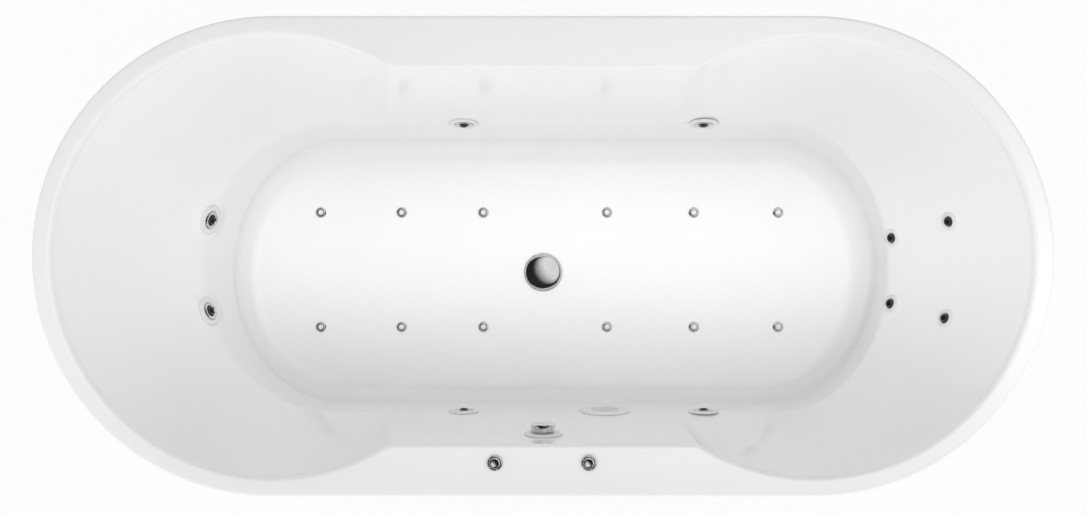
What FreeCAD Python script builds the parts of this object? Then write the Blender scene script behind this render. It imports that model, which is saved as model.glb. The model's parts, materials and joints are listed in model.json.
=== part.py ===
"""Oval jetted bathtub: acrylic shell, frame, waste, jets, pump and blower.

Frame: millimetres, +Z up, origin on the floor under the middle of the tub. +X points at the end with
the back jets and -Y at the deck with the two push buttons. Depths are measured down from the rim.
"""
import FreeCAD, Part
import math
import os
from collections import namedtuple

V = FreeCAD.Vector
UP = V(0, 0, 1)

# ---------------------------------------------------------------- driving dimensions
# Rim
rim_length = 1700.0
rim_width = 800.0
floor_z = 150.0
rim_sheet = 6.0
lip_height = 35.0
rim_edge_radius = 6.0
end_flange_width = 25.0
deck_width = 80.0
opening_edge_radius = 9.0
deck_corner_radius = 20.0

# Basin
basin_depth = 450.0
wall = 7.0
floor_radius = 45.0
crease_depth = 300.0
crease_half_width = 268.0
crease_left_inset = 70.0
crease_left_reach = 254.0
crease_right_inset = 10.0
crease_right_reach = 201.0
corner_left_inset = 160.0
corner_right_inset = 205.0
foot_half_width = 254.0
foot_left_reach = 216.0
foot_right_reach = 201.0

# Facets: how finely curved skins and small round pieces are cut
edge_steps = 2
floor_steps = 3
corner_steps = 2
shoulder_steps = 2
end_steps = 9
bend_steps = 1
pipe_sides = 8
hole_sides = 8
stud_sides = 6
disc_sides = 16
part_sides = 12

# Fits
seat_gap = 0.3
hole_gap = 0.3
shaft_gap = 0.08
slide_gap = 0.4

# Large jets: x of the four side jets, y of the two jets in the left end
side_jet_x = (-147.0, 298.0)
end_jet_y = (-82.0, 89.0)
jet_flange_radius = 28.0
jet_flange_height = 3.5
jet_ring_radius = 16.6
jet_ring_height = 4.5
jet_sleeve_wall = 3.0
jet_collar_height = 8.0
jet_collar_across = 48.0
jet_body_radius = 22.0
jet_body_length = 56.0
jet_pad_radius = 31.0
jet_pad_lift = 2.5
jet_side_drop = 3.2
jet_end_drop = 4.0
nozzle_ball_radius = 9.0
nozzle_bore = 3.6
ring_sides = 10
nozzle_sides = 8

# Back jets in the right end: (y, depth)
back_jets = ((-99.0, 160.0), (73.0, 160.0), (-68.0, 285.0), (54.0, 285.0))
back_flange_radius = 16.5
back_flange_height = 2.6
back_pad_radius = 18.5
back_pad_lift = 1.6
back_drop = 0.8
back_body_radius = 14.0
back_body_length = 26.0
back_collar_across = 30.0

# Air jets in the floor
air_jet_middle_x = (-277.0, -117.0, 125.0, 295.0)
air_jet_left_inset = 161.0
air_jet_right_inset = 181.0
air_jet_y = (-107.0, 117.0)
air_cap_radius = 10.5
air_cap_height = 2.5
air_shank_radius = 6.5
air_nut_across = 20.0
air_nut_height = 6.0

# Suction
suction_x = 115.0
suction_below_crease = 5.0
suction_radius = 47.0
suction_height = 4.5
suction_drop = 1.5
suction_cup_radius = 32.0
suction_cup_wall = 3.0
suction_cup_length = 45.0
suction_hole_radius = 3.6
suction_hole_pitch = 11.0

# Waste, plug and overflow
drain_flange_radius = 38.0
drain_flange_height = 2.0
drain_bore = 24.0
drain_sleeve_wall = 3.0
plug_radius = 35.0
plug_height = 7.0
plug_edge_height = 2.2
plug_boss_height = 6.0
plug_seal_height = 3.0
stem_radius = 4.0
spider_width = 4.0
spider_depth = 8.0
waste_collar_radius = 40.0
waste_collar_height = 6.0
waste_body_radius = 31.0
trap_cup_radius = 42.0
trap_cup_drop = 59.0
trap_cup_height = 64.0
outlet_radius = 20.0
outlet_wall = 2.5
outlet_drop = 26.0
outlet_end_x = 150.0
outlet_shoulder_radius = 26.0
outlet_shoulder_x = 60.0
overflow_depth = 85.0
overflow_radius = 33.0
overflow_height = 4.0
overflow_elbow_radius = 29.0
overflow_elbow_length = 34.0
overflow_pipe_radius = 12.0
overflow_pipe_y = -360.0
overflow_pipe_rise = 18.0
knob_radius = 21.0
knob_height = 15.0
knob_flutes = 6
knob_stem_radius = 5.0
cable_radius = 2.5
cable_x = -20.0
cable_trim = 4.0
cable_rise = 10.0

# Push buttons on the near deck
button_x = (-80.0, 76.0)
button_y = -343.0
bezel_radius = 13.0
bezel_height = 4.0
bezel_notches = 5
bezel_notch_width = 3.0
button_radius = 9.2
button_proud = 2.5
button_travel = 4.0
button_sleeve_wall = 1.6
button_body_length = 45.0

# Base board, deck boards and frame
board_thickness = 18.0
board_margin = 4.0
board_drain_hole = 45.0
deck_board_length = 470.0
deck_board_width = 60.0
deck_board_thickness = 18.0
beam = 30.0
beam_wall = 2.0
rail_inset = 100.0
rail_y = 185.0
short_bar_left_inset = 230.0
short_bar_right_inset = 210.0
long_bar_x = (-200.0, 235.0)
post = 20.0
post_y = 376.0
screw_head = 10.0
screw_head_height = 4.0

# Feet
foot_inset = 50.0
foot_pad_across = 46.0
foot_pad_height = 9.0
foot_stud_radius = 6.0
foot_travel = 20.0
foot_nut_across = 19.0
foot_nut_height = 8.0

# Trays, pump, blower and control box
tray_thickness = 3.0
tray_inset = 2.0
tray_length = 116.0
tray_flange = 12.0
pump_inset = 18.0
motor_radius = 56.0
motor_start_y = -40.0
motor_length = 150.0
motor_fins = 8
fin_height = 4.0
pump_foot_height = 10.0
volute_radius = 62.0
volute_length = 52.0
volute_wall = 5.0
inlet_radius = 22.0
inlet_length = 18.0
shaft_radius = 7.0
impeller_radius = 44.0
impeller_blades = 5
blade_thickness = 3.0
fan_radius = 44.0
fan_blades = 6
fan_cover_length = 34.0
fan_cover_wall = 2.0
fan_cover_slots = 8
blower_inset = 42.0
blower_y = -42.0
blower_radius = 56.0
blower_height = 92.0
blower_wall = 4.0
blower_lid_height = 12.0
blower_motor_height = 40.0
blower_rotor_radius = 44.0
blower_vanes = 8
control_box_length = 96.0
control_box_width = 70.0
control_box_height = 62.0
control_box_y = 112.0
control_lid_height = 14.0
gland_radius = 8.0
gland_bore = 4.5
gland_length = 14.0

# Pipes
water_radius = 13.0
water_jog_y = -345.0
suction_pipe_radius = 16.0
back_hose_radius = 6.0
air_rail_radius = 10.0
air_rail_drop = 50.0
air_hose_radius = 13.0
air_header_reach = 35.0
hose_lead = 40.0
hose_rise = 140.0
hose_offset = 20.0
hose_reach = 79.0
hose_bulge = 25.0
hose_fall = 5.0
hose_end_y = 30.0
hose_under_lip = 45.0
run_inset = 250.0
run_bend = 80.0

# ---------------------------------------------------------------- worked-out places
half_length = rim_length / 2
half_width = rim_width / 2
end_centre = half_length - half_width
crease_left_centre = crease_left_inset - end_centre
crease_right_centre = end_centre - crease_right_inset
crease_left_corner = corner_left_inset - end_centre
crease_right_corner = end_centre - corner_right_inset
jet_depth = crease_depth
suction_depth = crease_depth + suction_below_crease
rim_height = floor_z + basin_depth
shell_bottom = floor_z - wall
board_bottom = shell_bottom - board_thickness
rail_bottom = board_bottom - beam
foot_depth = basin_depth - floor_radius
air_jet_x = (crease_left_centre - foot_left_reach + air_jet_left_inset,) + air_jet_middle_x
air_jet_x += (crease_right_centre + foot_right_reach - air_jet_right_inset,)
air_header_x = air_jet_x[0] - air_header_reach
air_rail_z = board_bottom - air_rail_drop
trap_cup_top = shell_bottom - trap_cup_drop
trap_cup_bottom = trap_cup_top - trap_cup_height
outlet_z = trap_cup_top - outlet_drop
overflow_pipe_z = trap_cup_bottom + overflow_pipe_rise
cable_z = trap_cup_bottom + cable_rise
rail_length = rim_length - 2 * rail_inset
foot_x = rail_length / 2 - foot_inset
short_bar_x = (short_bar_left_inset - rail_length / 2, rail_length / 2 - short_bar_right_inset)
tray_outer_x = rail_length / 2 - tray_inset
tray_inner_x = tray_outer_x - tray_length
pump_x = tray_outer_x - pump_inset
blower_x = blower_inset - tray_outer_x
run_x = half_length - run_inset

Level = namedtuple("Level", "depth half_width lobe left_centre left_reach right_centre right_reach "
                            "left_corner right_corner")
rim_level = Level(
    opening_edge_radius,
    half_width - deck_width - opening_edge_radius,
    half_width - end_flange_width - opening_edge_radius,
    -end_centre,
    half_width - end_flange_width - opening_edge_radius,
    end_centre,
    half_width - end_flange_width - opening_edge_radius,
    None,
    None,
)
crease_level = Level(
    crease_depth, crease_half_width, crease_half_width,
    crease_left_centre, crease_left_reach, crease_right_centre, crease_right_reach,
    crease_left_corner, crease_right_corner,
)
foot_level = Level(
    foot_depth, foot_half_width, foot_half_width,
    crease_left_centre, foot_left_reach, crease_right_centre, foot_right_reach,
    crease_left_corner, crease_right_corner,
)

# ---------------------------------------------------------------- solid helpers
nodes = {}


def keep(name, shape):
    """Store one node's finished shape under its file name."""
    nodes[name] = shape.removeSplitter()


def block(x0, x1, y0, y1, z0, z1):
    return Part.makeBox(x1 - x0, y1 - y0, z1 - z0, V(x0, y0, z0))


def ring_points(sides, radius, z):
    """Corners of a regular polygon about Z."""
    corners = []
    for k in range(sides):
        angle = 2 * math.pi * (k + 0.5) / sides
        corners.append(V(radius * math.cos(angle), radius * math.sin(angle), z))
    return corners


def flat_face(corners):
    return Part.Face(Part.makePolygon(corners + corners[:1]))


def strips(rings, closed, flat):
    """Faces between neighbouring rings: flat quads, or triangle pairs on a twisted skin."""
    faces = []
    count = len(rings[0])
    pairs = list(zip(rings, rings[1:]))
    if closed:
        pairs.append((rings[-1], rings[0]))
    for lower, upper in pairs:
        for k in range(count):
            a, b = lower[k], lower[(k + 1) % count]
            c, d = upper[(k + 1) % count], upper[k]
            if flat:
                faces.append(flat_face([a, b, c, d]))
            else:
                faces.append(flat_face([a, b, c]))
                faces.append(flat_face([a, c, d]))
    return faces


def skinned(rings, flat=True):
    """Solid through a stack of rings, with a flat cap at each end."""
    faces = strips(rings, False, flat) + [flat_face(rings[0]), flat_face(rings[-1])]
    solid = Part.Solid(Part.Shell(faces))
    if solid.Volume < 0:
        solid.reverse()
    return solid


def faceted(sides, profile):
    """Stack regular polygons of the given (corner radius, z) into one solid."""
    return skinned([ring_points(sides, r, z) for r, z in profile])


def hollow(sides, profile):
    """Turn a closed (radius, z) profile into a many-sided ring about Z."""
    rings = [ring_points(sides, r, z) for r, z in profile]
    solid = Part.Solid(Part.Shell(strips(rings, True, True)))
    if solid.Volume < 0:
        solid.reverse()
    return solid


def bore_radius(radius, sides=hole_sides):
    """Corner radius of the hole round a piece with the same count of sides."""
    return radius + hole_gap / math.cos(math.pi / sides)


def shaft_bore(radius, z0, z1):
    """Cutter for the close bore that a many-sided shaft of this corner radius turns in."""
    corner = (radius + shaft_gap) / math.cos(math.pi / hole_sides)
    return faceted(hole_sides, ((corner, z0), (corner, z1)))


def drill(sides, radius, z0, z1, x=0.0, y=0.0):
    """Cutter for a many-sided clearance hole."""
    cutter = faceted(sides, ((bore_radius(radius, sides), z0), (bore_radius(radius, sides), z1)))
    cutter.translate(V(x, y, 0))
    return cutter


def hexagon(across, z0, z1):
    corner = across / math.sqrt(3)
    return faceted(6, ((corner, z0), (corner, z1)))


def fused(shapes):
    return shapes[0].multiFuse(shapes[1:]) if len(shapes) > 1 else shapes[0]


def polar(shape, count, axis_point=V(0, 0, 0), axis=UP):
    """Copies of a shape at even angles round an axis."""
    copies = []
    for k in range(count):
        copy = shape.copy()
        copy.rotate(axis_point, axis, 360.0 * k / count)
        copies.append(copy)
    return copies


def placed(shape, placement):
    copy = shape.copy()
    copy.Placement = placement.multiply(copy.Placement)
    return copy


def path_stations(points, bend):
    """Points and directions along straight runs joined by tangent arcs of one bend radius."""
    first = (points[1] - points[0]).normalize()
    stations = [(points[0], first)]
    for before, corner, after in zip(points, points[1:], points[2:]):
        inward = (before - corner).normalize()
        outward = (after - corner).normalize()
        turn = math.pi - inward.getAngle(outward)
        centre = corner + (inward + outward).normalize() * (bend / math.cos(turn / 2))
        axis = outward.cross(inward).normalize()
        arc_start = corner + inward * (bend * math.tan(turn / 2))
        for k in range(bend_steps + 1):
            rotation = FreeCAD.Rotation(axis, math.degrees(turn) * k / bend_steps)
            spot = centre + rotation.multVec(arc_start - centre)
            stations.append((spot, rotation.multVec(inward * -1)))
    stations.append((points[-1], (points[-1] - points[-2]).normalize()))
    return stations


def swing(start, end):
    """Shortest rotation that takes one direction into another."""
    axis = start.cross(end)
    if axis.Length < 1e-9:
        return FreeCAD.Rotation()
    return FreeCAD.Rotation(axis, math.degrees(math.atan2(axis.Length, start.dot(end))))


def pipe(points, radius, bend, sides=pipe_sides):
    """Many-sided bar along a path, its section carried without twist."""
    stations = path_stations(points, bend)
    direction = stations[0][1]
    turn = swing(UP, direction)
    rings = []
    for spot, heading in stations:
        turn = swing(direction, heading).multiply(turn)
        direction = heading
        rings.append([spot + turn.multVec(corner) for corner in ring_points(sides, radius, 0)])
    bar = skinned(rings)
    length = sum((b[0] - a[0]).Length for a, b in zip(stations, stations[1:]))
    section_area = sides * radius ** 2 * math.sin(2 * math.pi / sides) / 2
    print("pipe volume over section x length", round(bar.Volume / (section_area * length), 4))
    return bar


# ---------------------------------------------------------------- basin surface
def arc_points(centre, reach_x, reach_y, start, end, steps):
    """Points of an elliptical arc; angles are measured from +Y towards the end of the tub."""
    points = []
    for k in range(steps + 1):
        angle = start + (end - start) * k / steps
        points.append((centre + reach_x * math.sin(angle), reach_y * math.cos(angle)))
    return points


def deck_corner(level, grow, side):
    """Rounded corner where the straight deck edge meets the round end of the opening."""
    radius = level.lobe + grow
    straight = level.half_width + grow
    rounding = deck_corner_radius - grow
    centre = abs(level.right_centre if side > 0 else level.left_centre)
    back = math.sqrt((radius + rounding) ** 2 - (straight + rounding) ** 2)
    turn = math.atan2(back, straight + rounding)
    points = []
    for k in range(corner_steps + 1):
        angle = turn * k / corner_steps
        points.append((centre - back + rounding * math.sin(angle),
                       straight + rounding * (1 - math.cos(angle))))
    return points, turn


def quarter(level, grow, side):
    """Corner, shoulder and end of one quarter of a section, in +Y, from the straight outward."""
    centre = abs(level.right_centre if side > 0 else level.left_centre)
    reach = (level.right_reach if side > 0 else level.left_reach) + grow
    lobe = level.lobe + grow
    straight = level.half_width + grow
    if level.left_corner is None:
        corner, turn = deck_corner(level, grow, side)
        shoulder = arc_points(centre, lobe, lobe, -turn, 0.0, shoulder_steps)
    else:
        start = abs(level.right_corner if side > 0 else level.left_corner)
        corner = [(start + deck_corner_radius / 4 * (k / corner_steps - 0.5), straight)
                  for k in range(corner_steps + 1)]
        last = corner[-1][0]
        shoulder = [(last + (centre - last) * k / shoulder_steps, straight)
                    for k in range(shoulder_steps + 1)]
    end = arc_points(centre, reach, lobe, 0.0, math.pi / 2, end_steps)
    return [(side * x, y) for x, y in corner + shoulder[1:] + end[1:]]


def section(level, grow=0.0, depth=None):
    """Closed ring of points round the basin at a level, grown outward."""
    z = rim_height - (level.depth if depth is None else depth)
    right = quarter(level, grow, 1)
    left = quarter(level, grow, -1)
    far = left[::-1] + right
    near = [(x, -y) for x, y in far[-2:0:-1]]
    return [V(x, y, z) for x, y in far + near]


def rim_section(inset, depth):
    """Ring round the rim's stadium outline, with the same count of points as a basin section."""
    radius = half_width - inset
    flat_steps = corner_steps + shoulder_steps
    start = rim_level.right_centre - radius / 2
    flat = [(start + (end_centre - start) * k / flat_steps, radius) for k in range(flat_steps + 1)]
    right = flat + arc_points(end_centre, radius, radius, 0.0, math.pi / 2, end_steps)[1:]
    far = [(-x, y) for x, y in right[::-1]] + right
    near = [(x, -y) for x, y in far[-2:0:-1]]
    return [V(x, y, rim_height - depth) for x, y in far + near]


def basin_rings(grow, steps):
    """Rings up a basin skin from the flat floor to the crease."""
    radius = floor_radius + grow
    rings = []
    for k in range(steps, -1, -1):
        angle = math.pi / 2 * k / steps
        inset = radius * (1 - math.cos(angle))
        rings.append(section(foot_level, grow - inset, foot_depth + radius * math.sin(angle)))
    rings.append(section(crease_level, grow))
    return rings


def opening_rings():
    """Rings over the rounded edge between the basin wall and the rim."""
    rings = []
    for k in range(edge_steps + 1):
        angle = math.pi / 2 * k / edge_steps
        flare = opening_edge_radius * (1 - math.cos(angle))
        depth = opening_edge_radius * (1 - math.sin(angle))
        rings.append(section(rim_level, flare, depth))
    return rings


def rim_rings():
    """Rings over the rim's outer edge, down the lip and back under the sheet."""
    rings = []
    for k in range(edge_steps):
        angle = math.pi / 2 * k / (edge_steps - 1)
        inset = rim_edge_radius * (1 - math.sin(angle))
        depth = rim_edge_radius * (1 - math.cos(angle))
        rings.append(rim_section(inset, depth))
    rings.append(rim_section(0.0, lip_height))
    rings.append(rim_section(rim_sheet, lip_height))
    rings.append(rim_section(rim_sheet, rim_sheet))
    return rings


def level_at(depth):
    """Half width, lobe and end arcs of the basin wall at any depth."""
    upper, lower = rim_level, crease_level
    if depth > crease_depth:
        upper, lower = crease_level, foot_level
    share = (depth - upper.depth) / (lower.depth - upper.depth)
    pairs = zip(upper[1:7], lower[1:7])
    return [(1 - share) * a + share * b for a, b in pairs]


def end_point(y, depth, side):
    _, lobe, left_centre, left_reach, right_centre, right_reach = level_at(depth)
    cosine = math.sqrt(1 - (y / lobe) ** 2)
    if side > 0:
        return V(right_centre + right_reach * cosine, y, rim_height - depth)
    return V(left_centre - left_reach * cosine, y, rim_height - depth)


def seat(point, inward, along):
    """Placement with +Z into the basin and +X level along the wall."""
    return FreeCAD.Placement(point, FreeCAD.Rotation(along, inward.cross(along), inward, "ZXY"))


def end_seat(y, depth, side, lift):
    """Seat on an end wall, square to the surface there and lifted off it by its moulded pad."""
    step = 6.0
    point = end_point(y, depth, side)
    along = (end_point(y + step, depth, side) - end_point(y - step, depth, side)).normalize()
    down = (end_point(y, depth + step, side) - end_point(y, depth - step, side)).normalize()
    inward = along.cross(down).normalize()
    if inward.x * side > 0:
        inward = inward * -1
    return seat(point + inward * lift, inward, along)


def side_seat(x, depth, side):
    """Seat on a long wall."""
    here = level_at(depth)[0]
    slope = math.atan2(level_at(crease_depth / 2)[0] - crease_half_width, crease_depth / 2)
    inward = V(0, -side * math.cos(slope), math.sin(slope))
    return seat(V(x, side * here, rim_height - depth), inward, V(side, 0, 0))


def jet_seats():
    seats = [side_seat(x, jet_depth, 1) for x in side_jet_x]
    seats += [side_seat(x, jet_depth, -1) for x in side_jet_x]
    seats += [end_seat(y, jet_depth, -1, jet_pad_lift) for y in end_jet_y]
    return seats


def back_seats():
    return [end_seat(y, depth, 1, back_pad_lift) for y, depth in back_jets]


def air_spots():
    return [(x, y) for y in air_jet_y for x in air_jet_x]


def jet_tails():
    """Depth behind each large jet's seat where its body meets the sleeve."""
    side_tail = wall + jet_side_drop
    end_tail = jet_pad_lift + wall + jet_end_drop
    return [side_tail] * 2 * len(side_jet_x) + [end_tail] * len(end_jet_y)


back_tail = back_pad_lift + wall + back_drop


jet_sleeve_radius = jet_ring_radius + slide_gap + jet_sleeve_wall
back_sleeve_radius = nozzle_ball_radius + slide_gap + jet_sleeve_wall
drain_sleeve_radius = drain_bore + drain_sleeve_wall
button_sleeve_radius = button_radius + slide_gap + button_sleeve_wall
overflow_neck_radius = overflow_elbow_radius / 2
overflow_seat = side_seat(0.0, overflow_depth, -1)
suction_seat = side_seat(suction_x, suction_depth, -1)


# ---------------------------------------------------------------- shell
def shell_skin():
    """The whole acrylic sheet: up the basin, over the rim, down the lip and back under."""
    outside = basin_rings(wall, floor_steps - 1)
    outside.append(section(rim_level, wall, rim_sheet))
    rings = basin_rings(0.0, floor_steps) + opening_rings() + rim_rings() + outside[::-1]
    return skinned(rings, flat=False)


def jet_pads():
    """Flat moulded seats that stand a little proud of the curved end walls."""
    pads = []
    for y in end_jet_y:
        pad = faceted(part_sides, ((jet_pad_radius, -wall / 2 - jet_pad_lift), (jet_pad_radius, 0)))
        pads.append(placed(pad, end_seat(y, jet_depth, -1, jet_pad_lift)))
    for y, depth in back_jets:
        pad = faceted(hole_sides, ((back_pad_radius, -wall / 2 - back_pad_lift), (back_pad_radius, 0)))
        pads.append(placed(pad, end_seat(y, depth, 1, back_pad_lift)))
    return pads


def tub_shell():
    cutters = []
    for place in jet_seats():
        cutters.append(placed(drill(part_sides, jet_sleeve_radius, -4 * wall, 4 * wall), place))
    for place in back_seats():
        cutters.append(placed(drill(hole_sides, back_sleeve_radius, -4 * wall, 4 * wall), place))
    cutters.append(placed(drill(hole_sides, suction_cup_radius, -4 * wall, 4 * wall), suction_seat))
    cutters.append(placed(drill(hole_sides, overflow_neck_radius, -4 * wall, 4 * wall), overflow_seat))
    cutters.append(drill(disc_sides, drain_sleeve_radius, shell_bottom - 1, floor_z + 1))
    for x, y in air_spots():
        cutters.append(drill(6, air_shank_radius, shell_bottom - 1, floor_z + 1, x, y))
    for x in button_x:
        cutters.append(drill(hole_sides, button_sleeve_radius, rim_height - 2 * rim_sheet,
                             rim_height + 1, x, button_y))
    return shell_skin().removeSplitter().multiFuse(jet_pads()).cut(Part.makeCompound(cutters))


# ---------------------------------------------------------------- boards and frame
def timber_boards():
    """Base board under the floor and the two strips that stiffen the decks."""
    inset = floor_radius + board_margin
    outline = section(foot_level, -inset, rim_height - board_bottom)
    board = flat_face(outline).extrude(UP * board_thickness)
    cutters = [drill(disc_sides, board_drain_hole, board_bottom, shell_bottom)]
    reach = air_nut_across / math.sqrt(3) + hole_gap
    for y in air_jet_y:
        cutters.append(block(air_jet_x[0] - reach, air_jet_x[-1] + reach, y - reach, y + reach,
                             board_bottom, shell_bottom))
    boards = [board.cut(Part.makeCompound(cutters)).removeSplitter()]
    top = rim_height - rim_sheet
    outer = half_width - rim_sheet - board_margin
    for side in (-1, 1):
        y0, y1 = sorted((side * outer, side * (outer - deck_board_width)))
        boards.append(block(-deck_board_length / 2, deck_board_length / 2, y0, y1,
                            top - deck_board_thickness, top))
    holes = [drill(hole_sides, button_sleeve_radius, top - deck_board_thickness, top, x, button_y)
             for x in button_x]
    boards[1] = boards[1].cut(Part.makeCompound(holes))
    return Part.makeCompound(boards)


def beam_along(axis, length, size, centre):
    """Square tube, open at both ends, centred on a point."""
    outer = [size, size, size]
    inner = [size - 2 * beam_wall] * 3
    outer[axis] = length
    inner[axis] = length
    shapes = []
    for dims in (outer, inner):
        corner = centre - V(*dims) * 0.5
        shapes.append(Part.makeBox(*dims, corner))
    return shapes[0].cut(shapes[1])


def foot_spots():
    return [(sx * foot_x, sy * rail_y) for sx in (-1, 1) for sy in (-1, 1)]


def support_frame():
    """Welded square tube: two rails, four bars, and posts up to the deck boards."""
    z = (rail_bottom + board_bottom) / 2
    parts = []
    post_top = rim_height - rim_sheet - deck_board_thickness
    post_height = post_top - board_bottom
    for side in (-1, 1):
        parts.append(beam_along(0, rail_length, beam, V(0, side * rail_y, z)))
        rail_face = rail_y + beam / 2
        reach = post_y + post / 2 - rail_face
        for x in long_bar_x:
            parts.append(beam_along(1, reach, beam, V(x, side * (rail_face + reach / 2), z)))
            parts.append(beam_along(2, post_height, post,
                                    V(x, side * post_y, board_bottom + post_height / 2)))
    for x in short_bar_x + long_bar_x:
        parts.append(beam_along(1, 2 * rail_y - beam, beam, V(x, 0, z)))
    holes = [drill(stud_sides, foot_stud_radius, rail_bottom - 1, rail_bottom + beam / 2, x, y)
             for x, y in foot_spots()]
    return fused(parts).cut(Part.makeCompound(holes))


def frame_screws():
    """Hexagon heads of the screws that go up through the bars into the base board."""
    screws = []
    for x in short_bar_x + long_bar_x:
        for y in (-rail_y / 3, rail_y / 3):
            head = hexagon(screw_head, rail_bottom - screw_head_height, rail_bottom)
            head.translate(V(x, y, 0))
            screws.append(head)
    return Part.makeCompound(screws)


def foot(x, y):
    """Levelling foot: hexagon pad on a stud that screws up into the rail."""
    pad_corner = foot_pad_across / math.sqrt(3)
    neck = foot_stud_radius * 2
    pad = faceted(6, ((pad_corner, 0), (pad_corner, foot_pad_height / 2), (neck, foot_pad_height)))
    stud = faceted(stud_sides, ((foot_stud_radius, foot_pad_height / 2),
                                     (foot_stud_radius, rail_bottom + foot_travel + beam_wall)))
    shape = pad.fuse(stud)
    shape.translate(V(x, y, 0))
    return shape


def foot_lock_nuts():
    nuts = []
    for x, y in foot_spots():
        nut = hexagon(foot_nut_across, rail_bottom - foot_nut_height, rail_bottom)
        nut = nut.cut(drill(stud_sides, foot_stud_radius, rail_bottom - foot_nut_height - 1, rail_bottom + 1))
        nut.translate(V(x, y, 0))
        nuts.append(nut)
    return Part.makeCompound(nuts)


def tray(side):
    """Folded sheet across the rails that carries a machine."""
    x0, x1 = sorted((side * tray_inner_x, side * tray_outer_x))
    reach = rail_y + beam / 2
    sheet = block(x0, x1, -reach, reach, board_bottom, board_bottom + tray_thickness)
    lips = [block(x, x + tray_thickness, -reach + beam, reach - beam,
                  board_bottom - tray_flange, board_bottom)
            for x in (x0, x1 - tray_thickness)]
    return sheet.multiFuse(lips)


# ---------------------------------------------------------------- waste and overflow
def drain_flange():
    """Floor ring with its threaded sleeve and the spider that guides the plug stem."""
    top = floor_z + seat_gap + drain_flange_height
    bottom = shell_bottom - waste_collar_height
    ring = hollow(disc_sides, (
        (drain_bore, bottom), (drain_sleeve_radius, bottom), (drain_sleeve_radius, floor_z + seat_gap),
        (drain_flange_radius, floor_z + seat_gap), (drain_flange_radius - drain_flange_height, top),
        (drain_bore, top),
    ))
    arm = block(0, drain_bore + 1, -spider_width / 2, spider_width / 2, bottom, bottom + spider_depth)
    hub = faceted(hole_sides, ((2 * stem_radius, bottom), (2 * stem_radius, bottom + spider_depth)))
    spider = hub.multiFuse(polar(arm, 3))
    guide = shaft_bore(stem_radius, bottom - 1, bottom + spider_depth + 1)
    return ring.fuse(spider).cut(guide)


def plug_boss_radius():
    """Flat-to-flat fit of the many-sided boss and seal inside the drain bore."""
    return drain_bore * math.cos(math.pi / disc_sides) - slide_gap - plug_seal_height


def drain_plug():
    """Domed cap, its boss and the stem that slides in the spider."""
    base = floor_z + 2 * seat_gap + drain_flange_height
    stem_end = shell_bottom - waste_collar_height - 2 * plug_boss_height
    cap = faceted(disc_sides, (
        (plug_boss_radius(), base - plug_boss_height), (plug_boss_radius(), base), (plug_radius, base),
        (plug_radius, base + plug_edge_height), (plug_radius * 0.75, base + plug_height * 0.75),
        (plug_radius * 0.35, base + plug_height),
    ))
    stem = faceted(hole_sides, ((stem_radius, stem_end), (stem_radius, base)))
    return cap.fuse(stem)


def plug_seal():
    middle = floor_z + 2 * seat_gap + drain_flange_height - plug_boss_height / 2
    inner = plug_boss_radius()
    return hollow(disc_sides, ((inner, middle - plug_seal_height / 2), (inner + plug_seal_height, middle),
                               (inner, middle + plug_seal_height / 2)))


def waste_trap():
    """Waste body clamped under the floor, with its trap cup and outlet spigot."""
    inner = bore_radius(drain_sleeve_radius, disc_sides)
    body = faceted(disc_sides, (
        (trap_cup_radius - 6, trap_cup_bottom), (trap_cup_radius, trap_cup_bottom + 6),
        (trap_cup_radius, trap_cup_top - 6), (inner + 4, trap_cup_top),
        (inner + 4, shell_bottom - waste_collar_height),
        (waste_collar_radius, shell_bottom - waste_collar_height), (waste_collar_radius, shell_bottom),
    ))
    well = faceted(disc_sides, ((inner, trap_cup_top), (inner, shell_bottom)))
    shoulder = faceted(pipe_sides, ((outlet_shoulder_radius, 0), (outlet_shoulder_radius, outlet_shoulder_x)))
    inside = outlet_radius - outlet_wall
    bore = faceted(hole_sides, ((inside, outlet_radius), (inside, outlet_end_x)))
    turn = FreeCAD.Rotation(V(0, 1, 0), UP, V(1, 0, 0), "ZXY")
    lie = FreeCAD.Placement(V(0, 0, outlet_z), turn)
    spigot = Part.makeCylinder(outlet_radius, outlet_end_x - outlet_shoulder_x,
                               V(outlet_shoulder_x, 0, outlet_z), V(1, 0, 0))
    return body.cut(well).multiFuse([placed(shoulder, lie), spigot]).cut(placed(bore, lie))


def overflow_rosette():
    """Round cover with the water slots below the knob."""
    z0 = seat_gap
    z1 = z0 + overflow_height
    cover = faceted(disc_sides, ((overflow_radius, z0), (overflow_radius - 2, z1)))
    cutters = [shaft_bore(knob_stem_radius, z0 - 1, z1 + 1)]
    for offset in (-18, 0, 18):
        cutters.append(block(offset - 6, offset + 6, -overflow_radius + 5, -knob_radius - 1.5,
                             z0 - 1, z1 + 1))
    return placed(cover.cut(Part.makeCompound(cutters)), overflow_seat)


def overflow_knob():
    """Rotary knob with finger flutes and the stem that drives the cable."""
    z0 = 2 * seat_gap + overflow_height
    base = knob_radius - 1.5
    grip = z0 + knob_height * 0.6
    body = faceted(disc_sides, (
        (base, z0), (knob_radius, grip), (knob_radius, z0 + knob_height - 1.5),
        (knob_radius - 1.5, z0 + knob_height),
    ))
    stem = faceted(hole_sides, ((knob_stem_radius, -wall - 20), (knob_stem_radius, z0)))
    flute = block(base - 1.5, knob_radius + 2, -3, 3, z0 - 1, grip)
    return placed(body.cut(Part.makeCompound(polar(flute, knob_flutes))).fuse(stem), overflow_seat)


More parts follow.
